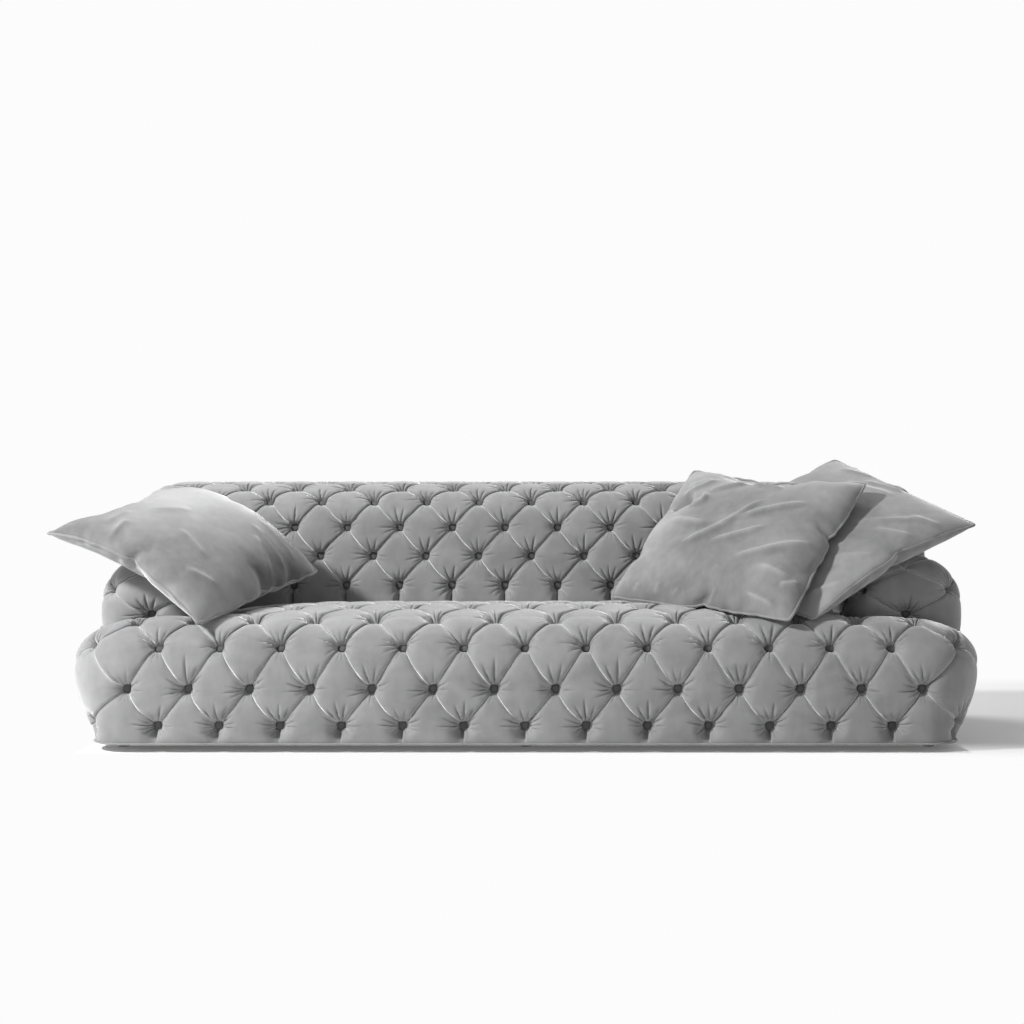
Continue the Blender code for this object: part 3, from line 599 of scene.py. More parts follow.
@dataclass(frozen=True)
class Lattice:
    """A box of tufting cells with an open underside."""

    counts: tuple[int, int, int]
    parity: int
    fine: int = 20                 # mesh steps in a cell
    weld: float = 0.001            # lattice steps within which the edges of its faces are joined
    crowding: float = 0.45         # how much closer the steps are along the lattice lines

    def crowded(self, share: Array, cells: int) -> Array:
        """Lattice places of evenly spread mesh points."""
        steps = np.rint(share * cells * self.fine)
        cell = np.floor(steps / self.fine)
        part = steps / self.fine - cell
        return cell + part - self.crowding * np.sin(2.0 * math.pi * part) / (2.0 * math.pi)

    def sheet(self, across: Axis, along: Axis, fixed: Axis, level: int) -> bpy.types.Object:
        """One face of the box.

        Args:
            across: lattice direction of the sheet's first side.
            along: lattice direction of its second side.
            fixed: direction that it faces.
            level: its place in that direction.

        Returns:
            A grid in lattice steps, each quad split along the pleat of its cell.
        """
        cells = (self.counts[across.value], self.counts[along.value])
        deselect()
        bpy.ops.mesh.primitive_grid_add(x_subdivisions=cells[0] * self.fine,
                                        y_subdivisions=cells[1] * self.fine, size=1.0)
        sheet = bpy.context.object
        mesh = sheet.data
        flat = points_of(mesh) + 0.5
        cell = np.floor((rows_of(mesh.polygons, "center")[:, :2] + 0.5) * np.array(cells))
        rising = (cell.sum(axis=1) + level) % 2 == self.parity
        for items in (mesh.vertices, mesh.edges):
            items.foreach_set("select", np.zeros(len(items), dtype=bool))
        mesh.polygons.foreach_set("select", rising)
        bpy.context.tool_settings.mesh_select_mode = (False, False, True)
        bpy.ops.object.mode_set(mode="EDIT")
        bpy.ops.mesh.quads_convert_to_tris(quad_method="FIXED")
        bpy.ops.mesh.select_all(action="SELECT")
        bpy.ops.mesh.quads_convert_to_tris(quad_method="FIXED_ALTERNATE")
        bpy.ops.object.mode_set(mode="OBJECT")
        placed = np.zeros_like(flat)
        placed[:, across.value] = self.crowded(flat[:, 0], cells[0])
        placed[:, along.value] = self.crowded(flat[:, 1], cells[1])
        placed[:, fixed.value] = level
        move_points(mesh, placed)
        return sheet

    def box(self, name: str, under_steps: int) -> bpy.types.Object:
        """The whole box, with its underside drawn in and closed.

        Args:
            name: of the object.
            under_steps: loops that the underside is drawn in by, each a step lower.

        Returns:
            The box in lattice steps, with its faces outwards.
        """
        wide, deep, high = self.counts
        sheets = [self.sheet(Axis.ACROSS, Axis.UPWARDS, Axis.BACKWARDS, level) for level in (0, deep)]
        sheets += [self.sheet(Axis.BACKWARDS, Axis.UPWARDS, Axis.ACROSS, level) for level in (0, wide)]
        sheets.append(self.sheet(Axis.ACROSS, Axis.BACKWARDS, Axis.UPWARDS, high))
        box = join(sheets, name)
        bpy.ops.object.mode_set(mode="EDIT")
        bpy.ops.mesh.select_mode(type="VERT")
        bpy.ops.mesh.select_all(action="SELECT")
        bpy.ops.mesh.remove_doubles(threshold=self.weld)
        bpy.ops.mesh.select_mode(type="EDGE")
        bpy.ops.mesh.select_all(action="DESELECT")
        bpy.ops.mesh.select_non_manifold(use_wire=False, use_multi_face=False, use_non_contiguous=False,
                                         use_verts=False)
        for _ in range(under_steps):
            bpy.ops.mesh.extrude_edges_move(TRANSFORM_OT_translate={"value": (0.0, 0.0, -1.0)})
        bpy.ops.mesh.edge_face_add()
        bpy.ops.mesh.select_all(action="SELECT")
        bpy.ops.mesh.normals_make_consistent(inside=False)
        bpy.ops.object.mode_set(mode="OBJECT")
        return box


@dataclass(frozen=True)
class Corner:
    """Half of a plan with round corners, along one of its axes."""

    half: float | Array
    radius: float

    @property
    def core(self) -> float | Array:
        """Where the straight side ends."""
        return self.half - self.radius

    @property
    def reach(self) -> float | Array:
        """Length along the rim to the middle of a corner."""
        return self.core + self.radius * math.pi / 4.0

    def run(self, place: Array) -> Array:
        """Length along the rounded rim to a place on the square edge."""
        over = np.clip(np.abs(place) - self.core, 0.0, None)
        straight = np.minimum(np.abs(place), self.core)
        return np.sign(place) * (straight + self.radius * np.arctan(over / self.radius))

    def square(self, run: Array) -> Array:
        """Place on the square edge of a length along the rim."""
        over = np.clip(np.abs(run) - self.core, 0.0, None)
        straight = np.minimum(np.abs(run), self.core)
        return np.sign(run) * (straight + self.radius * np.tan(over / self.radius))


def round_rim(plan: Array, low: Array, high: Array, radius: float) -> tuple[Array, Array]:
    """Moves points from the square edge of a plan onto its rounded rim.

    Args:
        plan: points on the square edge.
        low: lowest corner of the plan, one row for all points or for each.
        high: highest corner.
        radius: of the corners.

    Returns:
        The points on the rim and the unit directions outwards.
    """
    core = np.minimum(np.maximum(plan, low + radius), high - radius)
    outward = plan - core
    outward = outward / np.maximum(np.linalg.norm(outward, axis=1), 1e-9)[:, None]
    return core + outward * radius, outward


def rolled(share: Array) -> Array:
    """Height of a quarter round over its foot, at a share of its depth in from the edge."""
    return np.sqrt(1.0 - (1.0 - np.clip(share, 0.0, 1.0)) ** 2)


@dataclass
class TuftedCover:
    """A buttoned cover over a round form, as one closed piece."""

    name: str
    node: str
    lattice: Lattice
    padding: Padding
    has_flutes: bool
    under_steps: int
    seed: float
    line_ease = 0.2                # lattice steps in which pleat lines fade out by an edge
    flute_ease = 0.3               # and by a fluted edge
    button_room = 0.6              # how free the cloth has to be to show a button

    # Forms, which each cover gives

    def square(self, index: Array) -> Array:
        """Places on the square plan of lattice points."""
        raise NotImplementedError

    def side(self, index: Array) -> Array:
        """Places of lattice points on the four sides."""
        raise NotImplementedError

    def crown(self, plan: Array) -> Array:
        """Heights of the top over its plan."""
        raise NotImplementedError

    def under(self, index: Array) -> Array:
        """Places of the loops below the lowest edge."""
        raise NotImplementedError

    def shows(self, index: Array, points: Array) -> Array:
        """1 where the tufting is free, 0 where another cover presses on it."""
        return np.ones(len(index))

    def cloth_place(self, index: Array) -> Array:
        """Lengths along the cloth of lattice points, for each lattice direction."""
        raise NotImplementedError

    def has_button(self, index: Array) -> Array:
        """Which lattice points may have a button."""
        return index[:, 2] > (0.5 if self.has_flutes else -0.5)

    # Shape

    def at_ends(self, index: Array, axis: Axis) -> Array:
        """Which lattice points lie at either end of an axis."""
        place = index[:, axis.value]
        return (place < ON_LINE) | (place > self.lattice.counts[axis.value] - ON_LINE)

    def border_gap(self, index: Array, axis: Axis, level: float, other: float | None = None) -> Array:
        """How far the rim of the top lies from the square plan, and from the crown.

        Args:
            index: lattice points of the top.
            axis: direction in which they are moved to the border.
            level: the border's place in that direction.
            other: the border's place backwards as well, for a corner.

        Returns:
            Offsets in plan and height.
        """
        border = index.copy()
        border[:, 2] = self.lattice.counts[2]
        border[:, axis.value] = level
        if other is not None:
            border[:, Axis.BACKWARDS.value] = other
        rim = self.side(border)
        return np.column_stack((rim[:, :2] - self.square(border), rim[:, 2] - self.crown(rim[:, :2])))

    def top(self, index: Array) -> Array:
        """Places of lattice points on the top, blended into the rim in the outer cells."""
        across, back = (
            ((0, np.clip(1.0 - steps, 0.0, 1.0)), (count, np.clip(1.0 - count + steps, 0.0, 1.0)))
            for steps, count in zip(index.T, self.lattice.counts[:2]))
        moved = np.column_stack((self.square(index), np.zeros(len(index))))
        for level, share in across:
            moved += share[:, None] * self.border_gap(index, Axis.ACROSS, level)
            for other, other_share in back:
                corner = self.border_gap(index, Axis.ACROSS, level, other)
                moved -= (share * other_share)[:, None] * corner
        for level, share in back:
            moved += share[:, None] * self.border_gap(index, Axis.BACKWARDS, level)
        moved[:, 2] += self.crown(moved[:, :2])
        return moved

    def form(self, index: Array) -> Array:
        """Places of all lattice points on the plain form, without tufts."""
        below = index[:, 2] < -ON_LINE
        on_side = (self.at_ends(index, Axis.ACROSS) | self.at_ends(index, Axis.BACKWARDS)) & ~below
        on_top = ~(below | on_side)
        points = np.zeros_like(index)
        points[on_side] = self.side(index[on_side])
        points[on_top] = self.top(index[on_top])
        points[below] = self.under(index[below])
        return points

    def pleat_steps(self, index: Array) -> tuple[Array, Array]:
        """Counts of rising and falling pleat lines crossed, whole numbers on the lines."""
        across, back, up = index.T
        turned = np.where(self.at_ends(index, Axis.ACROSS), back, -back)
        falling = (across + back + up - self.lattice.parity) / 2.0
        rising = (across + turned - up - self.lattice.parity) / 2.0
        return falling, rising

    def bowed(self, index: Array) -> Array:
        """Lattice points moved so that falling pleats sag, away from the edges of front and rear."""
        pad = self.padding
        wide, _, high = self.lattice.counts
        room = np.minimum(np.minimum(index[:, 0], wide - index[:, 0]), high - index[:, 2])
        room = np.minimum(room, index[:, 2] - (pad.bow_start if self.has_flutes else 0.0))
        share = np.where(self.at_ends(index, Axis.BACKWARDS), smooth_step(room / pad.bow_ease), 0.0)
        _, rising = self.pleat_steps(index)
        sag = pad.bow * share * (1.0 - off_line(rising) ** 2)
        moved = index.copy()
        moved[:, 0] -= sag
        moved[:, 2] -= sag
        return moved

    def step(self, offset: Array, spacing: float, below: float) -> Array:
        """Depth of a fold where one side overlaps the other.

        Args:
            offset: from the pleat, in steps of the spacing, above 0 on the side that overlaps.
            spacing: between pleats.
            below: how far the dip runs under the overlapping side.

        Returns:
            From 0 to 1.
        """
        away = np.abs(offset) * spacing
        return np.exp(-away / np.where(offset > 0.0, self.padding.fold_above, below))

    def swell(self, index: Array) -> Array:
        """Height of the padding over its pleats, without the pits of the buttons."""
        pad = self.padding
        falling, rising = self.pleat_steps(index)
        above_falling, above_rising = falling - np.rint(falling), np.rint(rising) - rising
        least = np.minimum(np.abs(above_falling), np.abs(above_rising)) * pad.spacing
        fold = np.maximum(self.step(above_falling, pad.spacing, pad.fold_below),
                          self.step(above_rising, pad.spacing, pad.fold_below))
        crown = (1.0 - off_line(falling) ** 2) * (1.0 - off_line(rising) ** 2)
        height = pad.crown * crown - pad.fold * fold - pad.valley * np.exp(-(least / pad.valley_width) ** 2)
        return self.fluted(index, height) if self.has_flutes else height

    def fluted(self, index: Array, height: Array) -> Array:
        """Turns the lowest half diamonds into upright pleats under the buttons.

        Args:
            index: lattice points.
            height: of the padding in diamonds.

        Returns:
            The new heights.
        """
        pad = self.padding
        drop = np.clip(1.0 - index[:, 2], 0.0, 1.0)
        flutes = (index[:, 0] + index[:, 1] + 1.0 - self.lattice.parity) / 2.0
        beside = flutes - np.rint(flutes)
        away = np.abs(beside) * pad.flute_spacing
        fold = pad.fold * self.step(beside, pad.flute_spacing, pad.flute_width)
        far = np.where(beside > 0.0, pad.flute_far, 1.0)
        fold += pad.flute * np.exp(-(away / pad.flute_width) ** 2) * far
        upright = pad.crown * (1.0 - off_line(flutes) ** 2) - fold * (1.0 - pad.flute_fade * drop)
        upright *= 1.0 - pad.flute_flat * drop ** 3
        return height + (upright - height) * smooth_step(drop / pad.flute_start)

    def nearest_button(self, index: Array) -> tuple[Array, Array, Array]:
        """The nearest button of each lattice point.

        Args:
            index: lattice points.

        Returns:
            Places along the cloth seen from the button, with a number for the button, and two more rows of
            numbers: of the button's own, and 1 where there is a button.
        """
        falling, rising = self.pleat_steps(index)
        column, row = np.rint(falling), np.rint(rising)
        on_end = self.at_ends(index, Axis.ACROSS)
        on_top = ~on_end & (index[:, 2] > self.lattice.counts[2] - ON_LINE)
        sideways, upwards = column + row + self.lattice.parity, column - row
        back = np.where(on_top, upwards - index[:, 2], index[:, 1])
        up = np.where(on_top, index[:, 2], upwards - index[:, 1])
        button = np.column_stack((np.where(on_end, index[:, 0], sideways),
                                  np.where(on_end, sideways - index[:, 0], back),
                                  np.where(on_end, upwards, up)))
        offset = self.cloth_place(index) - self.cloth_place(button)
        flat_across = np.where(on_end, offset[:, 1], offset[:, 0])
        flat_up = np.where(on_top, offset[:, 1], offset[:, 2])
        first = scatter(column, row, self.seed)
        second = scatter(row, column, self.seed + BUTTON_DRAW)
        within = (button > -ON_LINE) & (button < np.array(self.lattice.counts) + ON_LINE)
        real = (self.has_button(button) & np.all(within, axis=1)).astype(float)
        return np.column_stack((flat_across, flat_up, first)), second, real

    def gathers(self, around: Array, second: Array) -> tuple[Array, Array]:
        """Folds that run in to each button, longest above it.

        Args:
            around: places along the cloth seen from the nearest button, with a number for the button.
            second: another number for the button.

        Returns:
            The folds, 1 in their lines, and how strong they are at each place.
        """
        pad = self.padding
        reach = np.hypot(around[:, 0], around[:, 1])
        angle = np.arctan2(around[:, 1], around[:, 0])
        first = around[:, 2]
        sway = np.sin(2.0 * angle + FULL_TURN * second)
        wave = 0.5 * pad.gather_folds * angle + FULL_TURN * first + pad.gather_sway * sway
        fold = (1.0 - np.abs(np.sin(wave))) ** pad.gather_power
        chance = scatter(np.rint(wave / math.pi), np.rint(first * 50.0), self.seed + FOLD_DRAW)
        leaning = 0.5 + 0.5 * np.cos(angle - pad.gather_side)
        length = pad.gather_length[0] + pad.gather_length[1] * chance
        length = length * (pad.gather_reach[0] + pad.gather_reach[1] * leaning)
        window = smooth_step((reach - pad.gather_start) / pad.gather_rise)
        window = window * (1.0 - smooth_step((reach - pad.gather_hold) / length))
        by_side = pad.gather_depth[0] + pad.gather_depth[1] * leaning
        by_chance = pad.gather_odds[0] + pad.gather_odds[1] * smooth_step(chance * pad.gather_chance)
        return fold, window * by_side * by_chance

    def tuft(self, index: Array, points: Array) -> tuple[Array, dict[str, Array]]:
        """How far the cloth stands out from the plain form.

        Args:
            index: lattice points.
            points: their places on the plain form.

        Returns:
            The heights, and vectors for each point that the velvet draws its gathers and pleats from.
        """
        pad = self.padding
        around, second, real = self.nearest_button(index)
        reach = np.hypot(around[:, 0], around[:, 1])
        fold, strength = self.gathers(around, second)
        free = self.shows(index, points)
        near = 1.0 - smooth_step((reach - pad.pit_end) / pad.pit_end)
        pit = pad.pit * np.exp(-(reach / pad.pit_reach) ** pad.pit_power) * near
        falling, rising = self.pleat_steps(index)
        aside = np.maximum(np.abs(falling - np.rint(falling)), np.abs(rising - np.rint(rising)))
        strength = strength * smooth_step((0.5 - aside) / pad.gather_margin)
        leaning = 0.5 + 0.5 * np.cos(np.arctan2(around[:, 1], around[:, 0]) - pad.slump_side)
        well = pad.well * np.exp(-(reach / pad.well_radius) ** pad.well_power)
        pit += well + pad.gather * fold * strength
        pit += pad.slump * np.exp(-(reach / pad.slump_reach) ** 2) * leaning
        depth = pad.lift + self.swell(index) - real * pit
        plump = scatter(np.floor(falling), np.floor(rising), self.seed + PUFF_DRAW) - 0.5
        depth += pad.unevenness * plump * (1.0 - np.maximum(off_line(falling), off_line(rising)) ** 2)
        depth = pad.hidden + (depth - pad.hidden) * free
        marks = {
            "gather": around,
            "gather_shape": np.column_stack((strength * real * free, second, np.zeros(len(index)))),
            "pleat": np.column_stack((falling, rising, free * self.pleat_share(index))),
        }
        return np.where(index[:, 2] < -ON_LINE, 0.0, depth), marks

    def pleat_share(self, index: Array) -> Array:
        """1 where the pleat lines run on without a break, 0 by the edges where their counts jump."""
        wide, deep, _ = self.lattice.counts
        on_front = index[:, 1] < ON_LINE
        from_end = np.minimum(index[:, 0], wide - index[:, 0])
        from_rear = deep - index[:, 1]
        steady = smooth_step(np.where(from_end < ON_LINE, from_rear, from_end) / self.line_ease)
        share = np.where(on_front, 1.0, steady)
        if self.has_flutes:
            share = share * (1.0 - smooth_step((1.0 - index[:, 2]) / self.flute_ease))
        return np.where(index[:, 2] < -ON_LINE, 0.0, share)

    def mark_pleats(self, mesh: bpy.types.Mesh, index: Array) -> None:
        """Marks the edges along pleats sharp."""
        ends = np.empty(len(mesh.edges) * 2, dtype=np.int32)
        mesh.edges.foreach_get("vertices", ends)
        ends = ends.reshape(-1, 2)
        sharp = np.zeros(len(ends), dtype=bool)
        in_diamonds = index[:, 2] > (1.0 - ON_LINE if self.has_flutes else -ON_LINE)
        for steps in self.pleat_steps(index):
            on_pleat = (np.abs(steps - np.rint(steps)) < ON_LINE) & in_diamonds
            same = np.abs(steps[ends[:, 0]] - steps[ends[:, 1]]) < ON_LINE
            sharp |= on_pleat[ends[:, 0]] & on_pleat[ends[:, 1]] & same
        mark = mesh.attributes.new("sharp_edge", "BOOLEAN", "EDGE")
        mark.data.foreach_set("value", sharp)

    def button_places(self, index: Array, points: Array, normals: Array) -> list[Matrix]:
        """Where the buttons sit, each facing out of its pit."""
        whole = np.rint(index)
        on_point = np.all(np.abs(index - whole) < ON_LINE, axis=1)
        chosen = on_point & (whole.sum(axis=1) % 2 == self.lattice.parity) & self.has_button(whole)
        chosen &= self.shows(index, points) > self.button_room
        places = []
        for point, normal in zip(points[chosen], normals[chosen]):
            turn = Vector(normal).to_track_quat("Z", "Y").to_matrix().to_4x4()
            places.append(Matrix.Translation(Vector(point)) @ turn)
        return places

    def build(self, material: bpy.types.Material, button: CoveredButton,
              shaded_button_material: bpy.types.Material) -> Array:
        """Makes the cover and its buttons.

        Args:
            material: the velvet.
            button: the button that is copied.
            shaded_button_material: the velvet of the buttons, darkened as painted shade.

        Returns:
            The points of the lowest edge in order round the piece.
        """
        cover = self.lattice.box(self.name, self.under_steps)
        mesh = cover.data
        index = points_of(mesh)
        points = self.form(self.bowed(index))
        move_points(mesh, points)
        normals = rows_of(mesh.vertex_normals, "vector")
        height, marks = self.tuft(index, points)
        tufted = points + normals * height[:, None]
        move_points(mesh, tufted)
        smooth_faces(mesh)
        self.mark_pleats(mesh, index)
        for name, values in marks.items():
            mesh.attributes.new(name, "FLOAT_VECTOR", "POINT").data.foreach_set("vector", values.ravel())
        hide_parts(self.node)
        hand_over(cover, Body.ROOT, material)
        places = self.button_places(index, points, normals)
        seated = [Matrix.Translation(place.to_3x3() @ Vector((0.0, 0.0, button.seat(self.padding)))) @ place
                  for place in places]
        hand_over(button.copies(seated, f"{self.name}_buttons"), Body.ROOT, shaded_button_material)
        return self.hem(index, points + normals * self.padding.lift)

    def hem(self, index: Array, points: Array) -> Array:
        """The lowest edge as a loop of points."""
        wide, deep, _ = self.lattice.counts
        lowest = np.abs(index[:, 2]) < ON_LINE
        edge, places = index[lowest], points[lowest]
        order = np.where(edge[:, 1] < ON_LINE, edge[:, 0],
                         np.where(edge[:, 0] > wide - ON_LINE, wide + edge[:, 1],
                                  np.where(edge[:, 1] > deep - ON_LINE, 2 * wide + deep - edge[:, 0],
                                           2 * wide + 2 * deep - edge[:, 1])))
        return places[np.argsort(order)]


@dataclass
class CoveredButton:
    """A small domed button covered in the sofa's velvet."""

    radius: float = 0.0135
    dome: float = 0.0055
    seat_lift: float = 0.003       # of the rim over the pit without its well
    sides: int = 12
    rings: tuple[tuple[float, float], ...] = ((1.0, 0.38), (0.9, 0.66), (0.66, 0.88), (0.33, 1.0))

    def seat(self, padding: Padding) -> float:
        """Height of its rim over the plain form, down in the pit."""
        return padding.lift - padding.fold - padding.valley - padding.pit + self.seat_lift

    def model(self) -> bpy.types.Object:
        """One button on its rim, facing +Z."""
        deselect()
        bpy.ops.mesh.primitive_circle_add(vertices=self.sides, radius=self.radius, fill_type="NGON")
        button = bpy.context.object
        bpy.ops.object.mode_set(mode="EDIT")
        bpy.ops.mesh.select_all(action="SELECT")
        width, height = 1.0, 0.0
        for ring_width, ring_height in self.rings:
            rise = (ring_height - height) * self.dome
            bpy.ops.mesh.extrude_region_move(TRANSFORM_OT_translate={"value": (0.0, 0.0, rise)})
            factor = ring_width / width
            bpy.ops.transform.resize(value=(factor, factor, 1.0))
            width, height = ring_width, ring_height
        bpy.ops.object.mode_set(mode="OBJECT")
        smooth_faces(button.data)
        return button

    def copies(self, places: list[Matrix], name: str) -> bpy.types.Object:
        """Copies the button to places and joins the copies.

        Args:
            places: where each button goes.
            name: of the joined piece.

        Returns:
            All the buttons as one object.
        """
        pattern = self.model()
        made = []
        for place in places:
            copy = bpy.data.objects.new(name, pattern.data.copy())
            copy.data.transform(place)
            bpy.context.scene.collection.objects.link(copy)
            made.append(copy)
        bpy.data.objects.remove(pattern)
        return join(made, name)


@dataclass
class BaseCover(TuftedCover):
    """The long low base with its seat, rolled over all round and drawn in at the hem."""

    half_width: float = 1.36
    half_depth: float = 0.55
    corner: float = 0.19
    deck: float = 0.375
    seat: float = 0.418
    belly: float = 0.25
    floor_gap: float = 0.0245
    hem_tuck: float = 0.080
    lip_drop: float = 0.026
    lip_run: tuple[float, float] = (-0.47, -0.22)
    seat_roll: float = 0.18
    shoulder_roll: float = 0.06
    shoulder_run: float = 0.12
    arm_inner: float = 0.99
    arm_outer: float = 1.345
    arm_front: float = -0.305
    back_front: float = 0.192
    back_rear: float = 0.535
    edge_turn: float = math.radians(72.0)
    levels: tuple[float, ...] = (0.0245, 0.076, 0.184, 0.320)
    cloth_levels: tuple[float, ...] = (0.0, 0.06, 0.173, 0.298, 0.425)     # lengths up the cloth
    cavity: tuple[float, float] = (1.2305, 0.4205)
    cavity_lift: float = 0.006
    lip_power: int = 4             # how square the front lip and the seat are, across and back
    seat_power: tuple[int, int] = (6, 4)
    seat_blend: float = 0.1        # length in which the lip runs into the seat
    press_level: float = 3.2       # lattice level from which the arms and the back press on it
    press_run: float = 0.5
    press_gap: float = 0.008       # how far round them the cloth gives way
    press_ease: float = 0.03
    columns: Array = field(default_factory=lambda: np.concatenate((
        [-1.36], 0.09 * np.arange(-13, 14), [1.36])))
    lines: Array = field(default_factory=lambda: np.concatenate((
        [-0.55], np.linspace(-0.305, 0.192, 5), np.linspace(0.192, 0.55, 4)[1:])))

    def __post_init__(self) -> None:
        """Measures the lattice lines along the rounded rim."""
        self.half = np.array((self.half_width, self.half_depth))
        self.wide_corner = Corner(self.half_width, self.corner)
        self.deep_corner = Corner(self.half_depth, self.corner)
        self.column_runs = self.wide_corner.run(self.columns)
        self.line_runs = self.deep_corner.run(self.lines)

    def runs(self, index: Array) -> tuple[Array, Array]:
        """Lengths along the rim from its middle, across and back."""
        return at_lines(index[:, 0], self.column_runs), at_lines(index[:, 1], self.line_runs)

    def square(self, index: Array) -> Array:
        """Places on the square plan of lattice points."""
        across, back = self.runs(index)
        return np.column_stack((self.wide_corner.square(across), self.deep_corner.square(back)))

    def cloth_place(self, index: Array) -> Array:
        """Lengths along the cloth of lattice points, for each lattice direction."""
        return np.column_stack((*self.runs(index), at_lines(index[:, 2], self.cloth_levels)))

    def level(self, plan: Array) -> Array:
        """Height of the top away from its edges: crowned where it shows."""
        width = np.abs(plan[:, 0])
        lip = 1.0 - np.minimum(width / self.half_width, 1.0) ** self.lip_power
        run = np.clip(plan[:, 1] - self.arm_front, 0.0, None) / (self.back_front - self.arm_front)
        seat = 1.0 - np.minimum(width / self.arm_inner, 1.0) ** self.seat_power[0]
        seat = seat * np.clip(1.0 - run ** self.seat_power[1], 0.0, None)
        share = smooth_step((plan[:, 1] - self.arm_front + self.seat_blend) / self.seat_blend)
        start, end = self.lip_run
        drop = self.lip_drop * (1.0 - smooth_step((plan[:, 1] - start) / (end - start)))
        return self.deck + (self.seat - self.deck) * (lip + (seat - lip) * share) - drop * lip

    def roll(self, back: Array) -> Array:
        """How far in the edge rolls over."""
        share = np.clip((back - self.arm_front) / self.shoulder_run, 0.0, 1.0)
        return self.seat_roll + (self.shoulder_roll - self.seat_roll) * share

    def side(self, index: Array) -> Array:
        """Places of lattice points on the four sides."""
        plan = self.square(index)
        rim, outward = round_rim(plan, -self.half, self.half, self.corner)
        rise = self.level(plan) - self.belly
        last = len(self.levels) - 1
        height = at_lines(index[:, 2], self.levels)
        tuck = np.clip((self.belly - height) / (self.belly - self.floor_gap), 0.0, 1.0)
        turn = np.arcsin(np.clip((height - self.belly) / rise, 0.0, 1.0))
        turn += (self.edge_turn - turn) * np.clip(index[:, 2] - last, 0.0, 1.0)
        facing = np.clip(-outward[:, 1], 0.0, 1.0) ** 2
        inset = self.hem_tuck * (1.0 - facing) * tuck ** 2 + self.roll(plan[:, 1]) * (1.0 - np.cos(turn))
        height = np.where(turn > 0.0, self.belly + rise * np.sin(turn), height)
        return np.column_stack((rim - outward * inset[:, None], height))

    def crown(self, plan: Array) -> Array:
        """Heights of the top over its plan."""
        over = np.abs(plan) - (self.half - self.corner)
        outside = np.linalg.norm(np.maximum(over, 0.0), axis=1) + np.minimum(over.max(axis=1), 0.0)
        share = (self.corner - outside) / self.roll(plan[:, 1])
        return self.belly + (self.level(plan) - self.belly) * rolled(share)

    def under(self, index: Array) -> Array:
        """The underside, drawn in to the frame's edge and then up into it."""
        plan = self.square(index) * (np.array(self.cavity) / self.half)
        height = self.floor_gap + self.cavity_lift * (index[:, 2] < -1.5)
        return np.column_stack((plan, height))

    def shows(self, index: Array, points: Array) -> Array:
        """1 where the tufting is free, 0 under the arms and the back."""
        width, back = np.abs(points[:, 0]), points[:, 1]
        arm = np.minimum(np.minimum(width - self.arm_inner, back - self.arm_front), self.arm_outer - width)
        rest = np.minimum(np.minimum(back - self.back_front, self.back_rear - back), self.arm_outer - width)
        inside = np.maximum(arm, rest)
        high = smooth_step((index[:, 2] - self.press_level) / self.press_run)
        return 1.0 - high * smooth_step((inside + self.press_gap) / self.press_ease)


@dataclass
class StandingCover(TuftedCover):
    """A cover with a rolled top that stands on the base, its foot sunk into it."""

    base: BaseCover
    front: float
    rear: float
    height: float
    corner: float
    roll: float
    roll_drop: float
    edge_turn: float
    levels: tuple[float, ...]
    cloth_levels: tuple[float, ...]
    crown_power: int               # how square the top is at its corners
    narrowing: tuple[float, float]         # of the underside, across and back
    foot_sink: float = 0.022
    axis: float = 0.0              # where the middle of the plan lies across

    def __post_init__(self) -> None:
        """Sets the foot of the roll."""
        self.foot = self.height - self.roll_drop

    def section(self, step: Array) -> tuple[Array, Array]:
        """Inset and height of the sides at a lattice level."""
        last = len(self.levels) - 1
        height = at_lines(step, self.levels)
        turn = np.arcsin(np.clip((height - self.foot) / self.roll_drop, 0.0, 1.0))
        turn += (self.edge_turn - turn) * np.clip(step - last, 0.0, 1.0)
        height = np.where(turn > 0.0, self.foot + self.roll_drop * np.sin(turn), height)
        return self.roll * (1.0 - np.cos(turn)), height

    def stood(self, index: Array, plan: Array, height: Array) -> Array:
        """Places of lattice points on the sides, with the foot sunk into the base.

        Args:
            index: lattice points.
            plan: their places in plan.
            height: their heights over a level base.

        Returns:
            The places.
        """
        drop = np.clip(1.0 - index[:, 2], 0.0, 1.0)
        foot = self.base.crown(plan) - self.foot_sink
        return np.column_stack((plan, height + drop * (foot - self.levels[0])))

    def rolled_over(self, *gaps: Array) -> Array:
        """Heights of the top, from how far in its places are from two edges."""
        first, second = (np.clip(1.0 - gap / self.roll, 0.0, None) ** self.crown_power for gap in gaps)
        return self.foot + self.roll_drop * rolled(1.0 - (first + second) ** (1.0 / self.crown_power))

    def under(self, index: Array) -> Array:
        """The underside, a little in from the edge."""
        edge = index.copy()
        edge[:, 2] = 0.0
        points = self.side(edge)
        middle = np.array((self.axis, (self.front + self.rear) / 2.0))
        points[:, :2] = middle + (points[:, :2] - middle) * np.array(self.narrowing)
        return points


